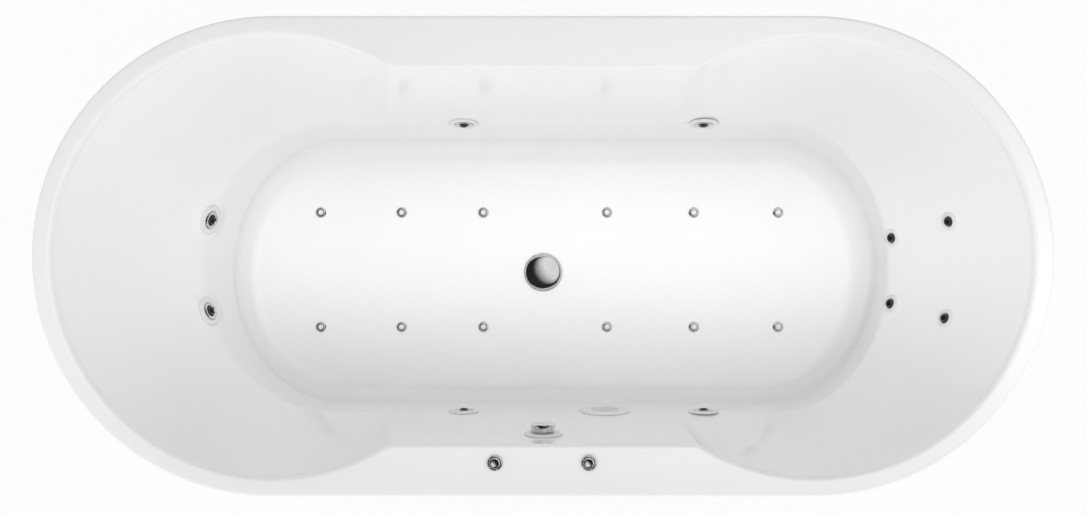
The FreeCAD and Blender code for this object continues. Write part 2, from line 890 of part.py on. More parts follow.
def overflow_elbow():
    """Housing behind the wall that collects the overflow and clears the knob stem."""
    neck = overflow_neck_radius
    z0 = -wall - seat_gap
    z1 = z0 - overflow_elbow_length
    body = faceted(hole_sides, ((overflow_elbow_radius, z1), (overflow_elbow_radius, z0),
                                (neck, z0), (neck, 0)))
    bore = faceted(hole_sides, ((neck - 3, z1 + 4), (neck - 3, 1)))
    return placed(body.cut(bore), overflow_seat)


def overflow_pipe():
    """Down-pipe from the elbow, along the wall and under the floor to the trap cup."""
    back = overflow_seat.multVec(V(0, 0, -wall - 2 * seat_gap - overflow_elbow_length))
    outward = overflow_seat.Rotation.multVec(UP) * -1
    corner = back + outward * ((overflow_pipe_y - back.y) / outward.y)
    flat = trap_cup_radius * math.cos(math.pi / disc_sides)
    points = [back, corner, V(0, overflow_pipe_y, overflow_pipe_z),
              V(0, -flat - seat_gap, overflow_pipe_z)]
    return pipe(points, overflow_pipe_radius, overflow_pipe_radius + 2)


def lift_cable():
    """Sheathed cable from the knob to the lifting pin under the plug."""
    middle = overflow_seat.multVec(V(0, 0, -wall - 0.65 * overflow_elbow_length))
    start = V(cable_x, middle.y, middle.z - overflow_elbow_radius - seat_gap)
    points = [start, V(cable_x, middle.y, cable_z), V(cable_x, -trap_cup_radius + cable_trim, cable_z)]
    return pipe(points, cable_radius, 40.0, 6)


# ---------------------------------------------------------------- jets
def jet_flange(tail):
    """Wall flange and sleeve that the control ring turns in."""
    bore = jet_ring_radius + slide_gap
    return hollow(part_sides, (
        (bore, -tail), (jet_sleeve_radius, -tail), (jet_sleeve_radius, seat_gap),
        (jet_flange_radius, seat_gap), (jet_flange_radius - 3, jet_flange_height),
        (bore, jet_flange_height),
    ))


def back_flange():
    bore = nozzle_ball_radius + slide_gap
    return hollow(hole_sides, (
        (bore, -back_tail), (back_sleeve_radius, -back_tail), (back_sleeve_radius, seat_gap),
        (back_flange_radius, seat_gap), (bore + 1.5, back_flange_height),
    ))


def jet_ring():
    """Ten-sided control ring that the fingers turn."""
    z0 = -jet_ring_height
    bore = (nozzle_ball_radius + slide_gap) / math.cos(math.pi / ring_sides)
    return hollow(ring_sides, (
        (bore, z0), (jet_ring_radius - 1, z0), (jet_ring_radius - 1, jet_ring_height - 1.5),
        (jet_ring_radius - 3, jet_ring_height), (bore, jet_ring_height),
    ))


def jet_nozzle():
    """Eyeball nozzle: a many-sided ball with its bore, turning inside the ball radius."""
    r = nozzle_ball_radius
    return hollow(nozzle_sides, (
        (nozzle_bore, -0.75 * r), (0.62 * r, -0.75 * r), (0.98 * r, 0.0), (0.7 * r, 0.7 * r),
        (nozzle_bore, 0.7 * r),
    ))


def body_behind(radius, collar, length, tail):
    """Body screwed on the sleeve behind the wall: hexagon collar and round chamber."""
    top = -tail - seat_gap
    nut = hexagon(collar, top - jet_collar_height, top)
    chamber = faceted(pipe_sides, ((radius, top - length), (radius, top - jet_collar_height)))
    return nut.fuse(chamber)


def all_flanges():
    shapes = [placed(jet_flange(tail), place) for place, tail in zip(jet_seats(), jet_tails())]
    shapes += [placed(back_flange(), place) for place in back_seats()]
    return Part.makeCompound(shapes)


def all_jet_bodies():
    shapes = []
    for place, tail in zip(jet_seats(), jet_tails()):
        shapes.append(placed(body_behind(jet_body_radius, jet_collar_across, jet_body_length, tail), place))
    small = body_behind(back_body_radius, back_collar_across, back_body_length, back_tail)
    shapes += [placed(small, place) for place in back_seats()]
    return Part.makeCompound(shapes)


def chamber_centre(place, length, tail):
    """Middle of the chamber behind the collar, where the pipes meet it."""
    return place.multVec(V(0, 0, -tail - seat_gap - (length + jet_collar_height) / 2))


def standoff(place, chamber_radius, direction, tube_radius, sides=pipe_sides):
    """Distance from a chamber's axis at which a slanting tube's square end just clears it."""
    local = place.Rotation.inverted().multVec(direction)
    corner = 2 * math.pi / sides
    aside = corner * abs(math.atan2(local.y, local.x) / corner % 1 - 0.5)
    reach = chamber_radius * math.cos(aside) + 2 * seat_gap
    return (reach + tube_radius * abs(local.z)) / math.hypot(local.x, local.y)


# ---------------------------------------------------------------- air jets
def at_spots(shape, spots):
    shapes = []
    for x, y in spots:
        copy = shape.copy()
        copy.translate(V(x, y, 0))
        shapes.append(copy)
    return Part.makeCompound(shapes)


def air_jet_caps():
    z0 = floor_z + seat_gap
    cap = faceted(hole_sides, ((air_cap_radius, z0), (air_cap_radius * 0.6, z0 + air_cap_height)))
    return at_spots(cap, air_spots())


def air_jet_bodies():
    """Shank through the floor with its lock nut under it, down to the air rail."""
    top = shell_bottom - seat_gap
    nut = hexagon(air_nut_across - 2 * hole_gap, top - air_nut_height, top)
    shank = faceted(6, ((air_shank_radius, air_rail_z + air_rail_radius), (air_shank_radius, floor_z)))
    return at_spots(nut.fuse(shank), air_spots())


def air_rails():
    """Two closed tubes under the jet rows, joined by the header that the hose feeds."""
    parts = []
    y0, y1 = air_jet_y
    across = air_rail_radius / math.cos(math.pi / 8)
    for y in air_jet_y:
        rail = faceted(8, ((across, air_header_x), (across, air_jet_x[-1] + 2 * air_rail_radius)))
        turn = FreeCAD.Rotation(V(0, 1, 0), UP, V(1, 0, 0), "ZXY")
        parts.append(placed(rail, FreeCAD.Placement(V(0, y, air_rail_z), turn)))
    header = faceted(8, ((across, y0), (across, y1)))
    turn = FreeCAD.Rotation(V(1, 0, 0), V(0, 0, -1), V(0, 1, 0), "ZXY")
    parts.append(placed(header, FreeCAD.Placement(V(air_header_x, 0, air_rail_z), turn)))
    return fused(parts)


# ---------------------------------------------------------------- suction
def suction_grille():
    """Domed safety grille with its hexagonal pattern of holes."""
    z0 = seat_gap
    disc = faceted(disc_sides, ((suction_radius, z0), (suction_radius, z0 + 1.5),
                                (suction_radius * 0.8, z0 + suction_height)))
    limit = suction_cup_radius - suction_cup_wall - suction_hole_radius
    rows = int(limit / suction_hole_pitch) + 1
    holes = []
    for row in range(-rows, rows + 1):
        for column in range(-2 * rows, 2 * rows + 1):
            x = (column + 0.5 * row) * suction_hole_pitch
            y = row * suction_hole_pitch * math.sqrt(3) / 2
            if math.hypot(x, y) < limit:
                hole = faceted(6, ((suction_hole_radius, 0), (suction_hole_radius, 2 * suction_height)))
                hole.translate(V(x, y, 0))
                holes.append(hole)
    return placed(disc.cut(Part.makeCompound(holes)), suction_seat)


def suction_body():
    """Cup behind the grille, with its clamping nut."""
    back = -wall - suction_cup_length
    outer = suction_cup_radius
    nut = outer + 10
    nut_top = -wall - suction_drop
    nut_bottom = nut_top - jet_collar_height
    cup = faceted(hole_sides, (
        (outer, back), (outer, nut_bottom), (nut, nut_bottom), (nut, nut_top), (outer, nut_top), (outer, 0),
    ))
    inner = outer - suction_cup_wall
    return placed(cup.cut(faceted(hole_sides, ((inner, back + suction_cup_wall), (inner, 1)))), suction_seat)


# ---------------------------------------------------------------- push buttons
def button_spots():
    return [(x, button_y) for x in button_x]


def button_bezels():
    bore = (button_radius + slide_gap) / math.cos(math.pi / disc_sides)
    z0 = rim_height + seat_gap
    z1 = rim_height + bezel_height
    bezel = hollow(disc_sides, ((bore, z0), (bezel_radius, z0), (bezel_radius, z1 - 1.5),
                                (bezel_radius - 1.5, z1), (bore, z1)))
    notch = block(bezel_radius - 1.8, bezel_radius + 1, -bezel_notch_width / 2, bezel_notch_width / 2,
                  z0 + 1.2, z1 + 1)
    return at_spots(bezel.cut(Part.makeCompound(polar(notch, bezel_notches))), button_spots())


def button_bodies():
    """Air bellows housings hung under the deck."""
    bottom = rim_height - button_body_length
    bore = (button_radius + slide_gap) / math.cos(math.pi / hole_sides)
    outer = faceted(hole_sides, ((button_sleeve_radius, bottom), (button_sleeve_radius, rim_height)))
    inner = faceted(hole_sides, ((bore, bottom + button_sleeve_wall), (bore, rim_height + 1)))
    return at_spots(outer.cut(inner), button_spots())


def button_cap(x):
    top = rim_height + bezel_height + button_proud
    bottom = rim_height - button_body_length + button_sleeve_wall + button_travel + seat_gap
    cap = faceted(disc_sides, ((button_radius, bottom), (button_radius, top - 1), (button_radius - 2, top)))
    cap.translate(V(x, button_y, 0))
    return cap


# ---------------------------------------------------------------- pump
pump_z = board_bottom + tray_thickness + pump_foot_height + motor_radius
motor_end_y = motor_start_y + motor_length
volute_back_y = motor_start_y - seat_gap
volute_front_y = volute_back_y - volute_length
impeller_front_y = volute_front_y + volute_wall + 6
impeller_back_y = volute_back_y - volute_wall - 4
outlet_x = pump_x + volute_radius - water_radius - volute_wall
outlet_y = (volute_front_y + volute_back_y) / 2
outlet_top = pump_z + volute_radius + 8


def along_y(shape):
    """Lay a shape built on Z down on the pump axis, with +Z going to +Y."""
    rotation = FreeCAD.Rotation(V(1, 0, 0), V(0, 0, -1), V(0, 1, 0), "ZXY")
    return placed(shape, FreeCAD.Placement(V(pump_x, 0, pump_z), rotation))


def pump_motor():
    """Finned motor case on its foot."""
    barrel = motor_radius - fin_height
    body = faceted(part_sides, ((barrel, motor_start_y), (barrel, motor_end_y)))
    fin = block(motor_radius - 3 * fin_height, motor_radius, -1.5, 1.5,
                motor_start_y + 10, motor_end_y - 10)
    case = body.multiFuse(polar(fin, motor_fins))
    case = case.cut(shaft_bore(shaft_radius, motor_start_y - 1, motor_end_y + 1))
    foot_half = motor_radius * 0.6
    base = block(pump_x - foot_half, pump_x + foot_half, motor_start_y + 20, motor_end_y - 20,
                 board_bottom + tray_thickness, pump_z - motor_radius * 0.75)
    return along_y(case).fuse(base)


def pump_volute():
    """Wet end: round casing, axial inlet spigot and tangential outlet."""
    inner = volute_radius - volute_wall
    casing = hollow(part_sides, (
        (inlet_radius - volute_wall, volute_front_y - inlet_length),
        (inlet_radius, volute_front_y - inlet_length), (inlet_radius, volute_front_y),
        (volute_radius, volute_front_y), (volute_radius, volute_back_y), (shaft_radius + 2, volute_back_y),
        (shaft_radius + 2, volute_back_y - volute_wall), (inner, volute_back_y - volute_wall),
        (inner, volute_front_y + volute_wall), (inlet_radius - volute_wall, volute_front_y + volute_wall),
    ))
    spout_radius = water_radius + volute_wall
    spout = faceted(pipe_sides, ((spout_radius, pump_z), (spout_radius, outlet_top)))
    spout.translate(V(outlet_x, outlet_y, 0))
    mouth = faceted(pipe_sides, ((water_radius, pump_z), (water_radius, outlet_top)))
    mouth.translate(V(outlet_x, outlet_y, 0))
    cavity = faceted(part_sides, ((inner, volute_front_y + volute_wall),
                                  (inner, volute_back_y - volute_wall)))
    return along_y(casing).fuse(spout.cut(along_y(cavity))).cut(mouth)


def blade_ring(count, hub, reach, z0, z1, lean):
    blade = block(hub * 0.8, reach, -blade_thickness / 2, blade_thickness / 2, z0, z1)
    blade.rotate(V(hub, 0, 0), UP, lean)
    return polar(blade, count)


def hub_piece(z0, z1):
    return faceted(hole_sides, ((2 * shaft_radius, z0), (2 * shaft_radius, z1)))


def pump_impeller():
    """Shaft with the impeller on its end: backplate and swept blades."""
    y0 = impeller_front_y
    y1 = impeller_back_y
    plate = faceted(disc_sides, ((impeller_radius, y1 - 4), (impeller_radius, y1)))
    shaft = faceted(hole_sides, ((shaft_radius, y1 - 1), (shaft_radius, fan_start_y)))
    blades = blade_ring(impeller_blades, 2 * shaft_radius, impeller_radius - 6, y0, y1 - 2, 25)
    return along_y(hub_piece(y0, y1).multiFuse([plate, shaft] + blades))


fan_start_y = motor_end_y + 6
fan_end_y = motor_end_y + fan_cover_length - 12


def pump_fan():
    """Cooling fan on the shaft end."""
    blades = blade_ring(fan_blades, 2 * shaft_radius, fan_radius, fan_start_y, fan_end_y, 0)
    return along_y(hub_piece(fan_start_y, fan_end_y).multiFuse(blades))


def fan_cover():
    """Slotted cowl behind the motor."""
    outer = motor_radius - fin_height
    y0 = motor_end_y + seat_gap
    y1 = y0 + fan_cover_length
    cowl = faceted(part_sides, ((outer, y0), (outer, y1)))
    cowl = cowl.cut(faceted(part_sides, ((outer - fan_cover_wall, y0 - 1), (outer - fan_cover_wall,
                                                                           y1 - fan_cover_wall))))
    slot = block(2 * shaft_radius, outer - 8, -3, 3, y1 - 2 * fan_cover_wall, y1 + 1)
    return along_y(cowl.cut(Part.makeCompound(polar(slot, fan_cover_slots))))


# ---------------------------------------------------------------- blower and control box
blower_base = board_bottom + tray_thickness
blower_top = blower_base + blower_height
blower_floor = blower_base + blower_motor_height


def blower_housing():
    """Cup with the motor block below and the impeller chamber above."""
    cup = faceted(part_sides, ((blower_radius, blower_base), (blower_radius, blower_top)))
    chamber = faceted(part_sides, ((blower_radius - blower_wall, blower_floor),
                                   (blower_radius - blower_wall, blower_top + 1)))
    bearing = shaft_bore(shaft_radius, blower_base + 3, blower_floor + 1)
    cup = cup.cut(Part.makeCompound([chamber, bearing]))
    cup.translate(V(blower_x, blower_y, 0))
    return cup


def blower_lid():
    z0 = blower_top + seat_gap
    lid = faceted(part_sides, ((blower_radius, z0), (blower_radius - 4, z0 + blower_lid_height)))
    lid.translate(V(blower_x, blower_y, 0))
    return lid


def blower_rotor():
    z0 = blower_floor + 4
    z1 = blower_top - 6
    plate = faceted(part_sides, ((blower_rotor_radius, z0), (blower_rotor_radius, z0 + 3)))
    shaft = faceted(hole_sides, ((shaft_radius, blower_base + 4), (shaft_radius, z0 + 1)))
    blades = blade_ring(blower_vanes, 2 * shaft_radius, blower_rotor_radius - 2, z0 + 2, z1, 0)
    wheel = hub_piece(z0, z1).multiFuse([plate, shaft] + blades)
    wheel.translate(V(blower_x, blower_y, 0))
    return wheel


control_x = -(tray_inner_x + tray_outer_x) / 2
control_gland_z = board_bottom + tray_thickness + 20
control_far_y = control_box_y + control_box_width / 2


def control_box():
    """Open box with the gland for the supply lead on its far side."""
    z0 = board_bottom + tray_thickness
    z1 = z0 + control_box_height - control_lid_height
    half_x = control_box_length / 2
    half_y = control_box_width / 2
    outer = block(control_x - half_x, control_x + half_x, control_box_y - half_y, control_box_y + half_y,
                  z0, z1)
    inner = block(control_x - half_x + 3, control_x + half_x - 3, control_box_y - half_y + 3,
                  control_box_y + half_y - 3, z0 + 3, z1)
    turn = FreeCAD.Rotation(V(1, 0, 0), V(0, 0, -1), V(0, 1, 0), "ZXY")
    gland = placed(hexagon(2 * gland_radius, -1, gland_length),
                   FreeCAD.Placement(V(control_x, control_far_y, control_gland_z), turn))
    bore = Part.makeCylinder(gland_bore, gland_length + 8, V(control_x, control_far_y - 8, control_gland_z),
                             V(0, 1, 0))
    return outer.cut(inner).fuse(gland).cut(bore)


def control_box_lid():
    z0 = board_bottom + tray_thickness + control_box_height - control_lid_height + seat_gap
    half_x = control_box_length / 2 + 2
    half_y = control_box_width / 2 + 2
    lid = block(control_x - half_x, control_x + half_x, control_box_y - half_y, control_box_y + half_y,
                z0, z0 + control_lid_height)
    edges = [e for e in lid.Edges if e.BoundBox.ZMin > z0 + 1]
    return lid.makeChamfer(2.0, edges)


# ---------------------------------------------------------------- pipes
def jet_centres():
    return [chamber_centre(place, jet_body_length, tail)
            for place, tail in zip(jet_seats(), jet_tails())]


def trimmed(points, first, last):
    """Shorten a route at both ends by the distances to what it meets."""
    start = points[0] + (points[1] - points[0]).normalize() * first
    end = points[-1] + (points[-2] - points[-1]).normalize() * last
    return [start] + points[1:-1] + [end]


def between(points, first, last, chamber_radius, tube_radius):
    """Route between two chambers, or from a plain end where first is None."""
    start = seat_gap
    if first is not None:
        start = standoff(first, chamber_radius, (points[1] - points[0]).normalize(), tube_radius)
    end = standoff(last, chamber_radius, (points[-2] - points[-1]).normalize(), tube_radius)
    return trimmed(points, start, end)


def water_pipe():
    """Pressure line: pump, near jets, left end, far jets."""
    far_left, far_right, near_left, near_right, end_near, end_far = jet_seats()
    c_far_left, c_far_right, c_near_left, c_near_right, c_end_near, c_end_far = jet_centres()
    z = c_near_left.z
    y = c_near_left.y
    turn_x = crease_left_centre - 60
    inside_x = suction_x - 85
    runs = [
        (None, near_right, [V(outlet_x, outlet_y, outlet_top), V(outlet_x, outlet_y, z),
                            V(run_x, y + 10, z), V(run_x - run_bend, y, z), c_near_right]),
        (near_right, near_left, [c_near_right, V(c_near_right.x - 45, y, z),
                                 V(c_near_right.x - 85, water_jog_y, z),
                                 V(suction_x - 45, water_jog_y, z), V(inside_x, y, z), c_near_left]),
        (near_left, end_near, [c_near_left, V(turn_x, y, z), V(c_end_near.x - 20, y * 0.62, z), c_end_near]),
        (end_near, end_far, [c_end_near, c_end_far]),
        (end_far, far_left, [c_end_far, V(c_end_far.x - 20, -y * 0.62, z), V(turn_x, -y, z), c_far_left]),
        (far_left, far_right, [c_far_left, c_far_right]),
    ]
    tubes = []
    for first, last, points in runs:
        route = between(points, first, last, jet_body_radius, water_radius)
        tubes.append(pipe(route, water_radius, 2 * water_radius))
    return Part.makeCompound(tubes)


def suction_pipe():
    """From under the suction cup, along the near side and round to the pump inlet."""
    start = suction_seat.multVec(V(0, 0, -wall - suction_drop - suction_cup_length / 2))
    drop = standoff(suction_seat, suction_cup_radius, V(0, 0, -1), suction_pipe_radius, hole_sides)
    points = [V(start.x, start.y, start.z - drop), V(start.x, start.y, pump_z), V(run_x, start.y, pump_z),
              V(pump_x, volute_front_y - 90, pump_z),
              V(pump_x, volute_front_y - inlet_length - seat_gap, pump_z)]
    return pipe(points, suction_pipe_radius, 30.0)


def back_hoses():
    """Short hoses between neighbouring back-jet bodies."""
    seats = back_seats()
    hoses = []
    for a, b in ((0, 2), (2, 3), (3, 1)):
        ends = [chamber_centre(seats[k], back_body_length, back_tail) for k in (a, b)]
        route = between(ends, seats[a], seats[b], back_body_radius, back_hose_radius)
        hoses.append(pipe(route, back_hose_radius, 0.0))
    return Part.makeCompound(hoses)


def blower_hose():
    """Air hose: up to the rim as a water stop, over and down to the header under the floor."""
    top = blower_top + seat_gap + blower_lid_height + seat_gap
    high = rim_height - lip_height - hose_under_lip
    start_x = blower_x - hose_offset
    out_x = blower_x - hose_reach
    far_x = out_x - hose_bulge
    points = [V(start_x, blower_y, top), V(start_x, blower_y, top + hose_lead),
              V(out_x, blower_y, top + hose_rise), V(far_x, blower_y, high),
              V(far_x, hose_end_y, high), V(out_x - hose_fall, hose_end_y, air_rail_z),
              V(air_header_x - air_rail_radius - seat_gap, hose_end_y, air_rail_z)]
    return pipe(points, air_hose_radius, 2 * air_hose_radius)


# ---------------------------------------------------------------- build
keep("tub_shell", tub_shell())
keep("timber_boards", timber_boards())
keep("support_frame", support_frame())
keep("frame_screws", frame_screws())
keep("foot_lock_nuts", foot_lock_nuts())
keep("machine_trays", Part.makeCompound([tray(1), tray(-1)]))
for foot_name, (x, y) in zip(("foot_left_near", "foot_left_far", "foot_right_near", "foot_right_far"),
                             foot_spots()):
    keep(foot_name, foot(x, y))
keep("drain_flange", drain_flange())
keep("drain_plug", drain_plug())
keep("plug_seal", plug_seal())
keep("waste_trap", waste_trap())
keep("overflow_rosette", overflow_rosette())
keep("overflow_knob", overflow_knob())
keep("overflow_elbow", overflow_elbow())
keep("overflow_pipe", overflow_pipe())
keep("lift_cable", lift_cable())
keep("jet_flanges", all_flanges())
keep("jet_bodies", all_jet_bodies())
for k, place in enumerate(jet_seats(), 1):
    keep("jet_ring_%d" % k, placed(jet_ring(), place))
    keep("jet_nozzle_%d" % k, placed(jet_nozzle(), place))
for k, place in enumerate(back_seats(), 1):
    keep("back_nozzle_%d" % k, placed(jet_nozzle(), place))
keep("air_jet_caps", air_jet_caps())
keep("air_jet_bodies", air_jet_bodies())
keep("air_rails", air_rails())
keep("suction_grille", suction_grille())
keep("suction_body", suction_body())
keep("button_bezels", button_bezels())
keep("button_bodies", button_bodies())
for k, x in enumerate(button_x, 1):
    keep("button_cap_%d" % k, button_cap(x))
keep("pump_motor", pump_motor())
keep("pump_volute", pump_volute())
keep("pump_impeller", pump_impeller())
keep("pump_fan", pump_fan())
keep("fan_cover", fan_cover())
keep("blower_housing", blower_housing())
keep("blower_lid", blower_lid())
keep("blower_rotor", blower_rotor())
keep("control_box", control_box())
keep("control_box_lid", control_box_lid())
keep("water_pipe", water_pipe())
keep("suction_pipe", suction_pipe())
keep("back_jet_hoses", back_hoses())
keep("blower_hose", blower_hose())

os.makedirs("parts", exist_ok=True)
for node_name, node_shape in nodes.items():
    node_shape.exportStep("parts/" + node_name + ".step")
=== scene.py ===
import json
from math import atan2, cos, hypot, pi, radians, sin, sqrt, tan

import bmesh
import bpy
from mathutils import Matrix, Quaternion, Vector


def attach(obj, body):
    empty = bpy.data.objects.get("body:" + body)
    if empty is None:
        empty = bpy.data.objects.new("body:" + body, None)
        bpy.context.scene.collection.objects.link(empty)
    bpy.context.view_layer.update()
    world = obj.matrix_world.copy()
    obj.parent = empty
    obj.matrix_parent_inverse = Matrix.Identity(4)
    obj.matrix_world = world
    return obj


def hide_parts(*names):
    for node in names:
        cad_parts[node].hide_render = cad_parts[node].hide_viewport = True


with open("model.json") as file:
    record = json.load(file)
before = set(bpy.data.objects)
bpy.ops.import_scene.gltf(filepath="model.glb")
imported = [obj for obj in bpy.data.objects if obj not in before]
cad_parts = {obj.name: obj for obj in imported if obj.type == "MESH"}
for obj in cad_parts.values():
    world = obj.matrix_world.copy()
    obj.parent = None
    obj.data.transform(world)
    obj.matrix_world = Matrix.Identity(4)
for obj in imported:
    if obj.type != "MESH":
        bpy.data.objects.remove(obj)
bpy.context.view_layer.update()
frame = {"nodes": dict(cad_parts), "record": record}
MM = 0.001

# -------- shared sizes, in millimetres
rim_height = 600.0
rim_sheet = 6.0
lip_height = 35.0
rim_edge_radius = 6.0
half_length = 850.0
half_width = 400.0
end_flange_width = 25.0
deck_width = 80.0
opening_edge_radius = 9.0
deck_corner_radius = 20.0
basin_depth = 450.0
wall = 7.0
floor_radius = 45.0
crease_depth = 300.0
floor_z = rim_height - basin_depth
shell_bottom = floor_z - wall
board_bottom = shell_bottom - 18.0
end_centre = half_length - half_width
seat_gap = 0.3
slide_gap = 0.4
bend_steps = 12
corner_points = 4

# Each level: depth, half width, lobe, left centre and reach, right centre and reach
opening_half = half_width - deck_width - opening_edge_radius
opening_reach = half_width - end_flange_width - opening_edge_radius
RIM = (opening_edge_radius, opening_half, opening_reach, -end_centre, opening_reach, end_centre, opening_reach)
CREASE = (crease_depth, 268.0, 268.0, -380.0, 254.0, 440.0, 201.0)
FOOT = (basin_depth - floor_radius, 254.0, 254.0, -380.0, 216.0, 440.0, 201.0)
crease_corners = (290.0, 245.0)

# Steps of the fine skin
corner_steps = 10
shoulder_steps = 22
end_steps = 72
middle_steps = 30
wall_steps = 40
edge_steps = 8


# -------- mesh helpers
def linked(name, data):
    """New object in the scene."""
    obj = bpy.data.objects.new(name, data)
    bpy.context.scene.collection.objects.link(obj)
    return obj


def discard(obj):
    """Remove a mesh object and its mesh."""
    mesh = obj.data
    bpy.data.objects.remove(obj)
    bpy.data.meshes.remove(mesh)


def mesh_object(name, vertices, faces, material, scale=MM, sharp=40.0):
    mesh = bpy.data.meshes.new(name)
    mesh.from_pydata([Vector(v) * scale for v in vertices], [], faces)
    mesh.validate()
    bm = bmesh.new()
    bm.from_mesh(mesh)
    bmesh.ops.recalc_face_normals(bm, faces=bm.faces)
    bm.to_mesh(mesh)
    bm.free()
    obj = linked(name, mesh)
    mesh.materials.append(MAT[material])
    smooth(obj, sharp)
    return obj


def smooth(obj, sharp=40.0):
    obj.data.shade_smooth()
    obj.data.set_sharp_from_angle(angle=radians(sharp))


def soften(profile, radius):
    """Round every corner of a (radius, z) outline with a small arc."""
    points = []
    count = len(profile)
    for k in range(count):
        p = Vector(profile[k])
        before = Vector(profile[k - 1]) - p
        after = Vector(profile[(k + 1) % count]) - p
        on_axis = p.x < 1e-6 or before.length < 1e-6 or after.length < 1e-6
        angle = pi if on_axis else before.angle(after)
        if angle > radians(165):
            points.append(tuple(p))
            continue
        reach = min(radius / tan(angle / 2), 0.45 * before.length, 0.45 * after.length)
        a = p + before.normalized() * reach
        b = p + after.normalized() * reach
        for j in range(corner_points + 1):
            t = j / corner_points
            points.append(tuple(a * (1 - t) ** 2 + p * 2 * t * (1 - t) + b * t ** 2))
    return points


def lathe_mesh(profile, steps, shape=None):
    """Vertices and faces of an outline turned about Z. shape(angle, r, z) may change the radius."""
    vertices = []
    rings = []
    for r, z in profile:
        if r < 1e-6:
            rings.append([len(vertices)] * steps)
            vertices.append((0, 0, z))
            continue
        ring = []
        for k in range(steps):
            angle = 2 * pi * (k + 0.5) / steps
            rr = shape(angle, r, z) if shape else r
            ring.append(len(vertices))
            vertices.append((rr * cos(angle), rr * sin(angle), z))
        rings.append(ring)
    faces = []
    for lower, upper in zip(rings, rings[1:] + rings[:1]):
        for k in range(steps):
            after = (k + 1) % steps
            corners = list(dict.fromkeys((lower[k], lower[after], upper[after], upper[k])))
            if len(corners) > 2:
                faces.append(corners)
    return vertices, faces


def lathe(name, profile, material, steps=72, seat=None, soft=0.5, shape=None, sharp=40.0):
    """Turned piece with softened corners, placed on a seat."""
    outline = soften(profile, soft) if soft else profile
    vertices, faces = lathe_mesh(outline, steps, shape)
    if seat is not None:
        vertices = [seat @ Vector(v) for v in vertices]
    return mesh_object(name, vertices, faces, material, sharp=sharp)


def joined(name, pieces):
    """Join several pieces into one object."""
    bm = bmesh.new()
    slots = []
    for piece in pieces:
        start = len(bm.faces)
        bm.from_mesh(piece.data)
        bm.faces.ensure_lookup_table()
        offset = {}
        for k, material in enumerate(piece.data.materials):
            if material not in slots:
                slots.append(material)
            offset[k] = slots.index(material)
        for face in bm.faces[start:]:
            face.material_index = offset[face.material_index]
    mesh = bpy.data.meshes.new(name)
    bm.to_mesh(mesh)
    bm.free()
    for material in slots:
        mesh.materials.append(material)
    for piece in pieces:
        discard(piece)
    obj = linked(name, mesh)
    smooth(obj)
    return obj


def cut_away(obj, cutters):
    """Cut the cutters out of obj for good."""
    tool = joined(obj.name + ".cut", cutters)
    modifier = obj.modifiers.new("cut", "BOOLEAN")
    modifier.operation = "DIFFERENCE"
    modifier.solver = "EXACT"
    modifier.object = tool
    bpy.context.view_layer.update()
    graph = bpy.context.evaluated_depsgraph_get()
    mesh = bpy.data.meshes.new_from_object(obj.evaluated_get(graph))
    old = obj.data
    obj.modifiers.clear()
    obj.data = mesh
    bpy.data.meshes.remove(old)
    discard(tool)
    smooth(obj)


def upright(x, y, z=0.0):
    """Seat with its axis straight up."""
    return Matrix.Translation((x, y, z))


def turned(obj, share):
    """Turn a block about Z by a share of a full turn."""
    obj.data.transform(Matrix.Rotation(2 * pi * share, 4, "Z"))
    return obj


def placed(obj, place):
    """Move a block onto a seat, which is in millimetres."""
    for step in (Matrix.Scale(1 / MM, 4), place, Matrix.Scale(MM, 4)):
        obj.data.transform(step)
    return obj


def dress(piece, body, slot, *nodes):
    """Give a piece its body and hide the CAD nodes that it stands for. The slot argument is not used."""
    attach(piece, body)
    if nodes:
        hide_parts(*nodes)
    return piece


def stations(points, bend):
    """Points and headings along straight runs joined by tangent arcs."""
    points = [Vector(p) for p in points]
    heading = (points[1] - points[0]).normalized()
    found = [(points[0], heading)]
    for before, corner, after in zip(points, points[1:], points[2:]):
        inward = (before - corner).normalized()
        outward = (after - corner).normalized()
        turn = pi - inward.angle(outward)
        centre = corner + (inward + outward).normalized() * (bend / cos(turn / 2))
        axis = outward.cross(inward).normalized()
        arc_start = corner + inward * (bend * tan(turn / 2))
        for k in range(bend_steps + 1):
            rotation = Quaternion(axis, turn * k / bend_steps)
            found.append((centre + rotation @ (arc_start - centre), rotation @ (inward * -1)))
    found.append((points[-1], (points[-1] - points[-2]).normalized()))
    return found


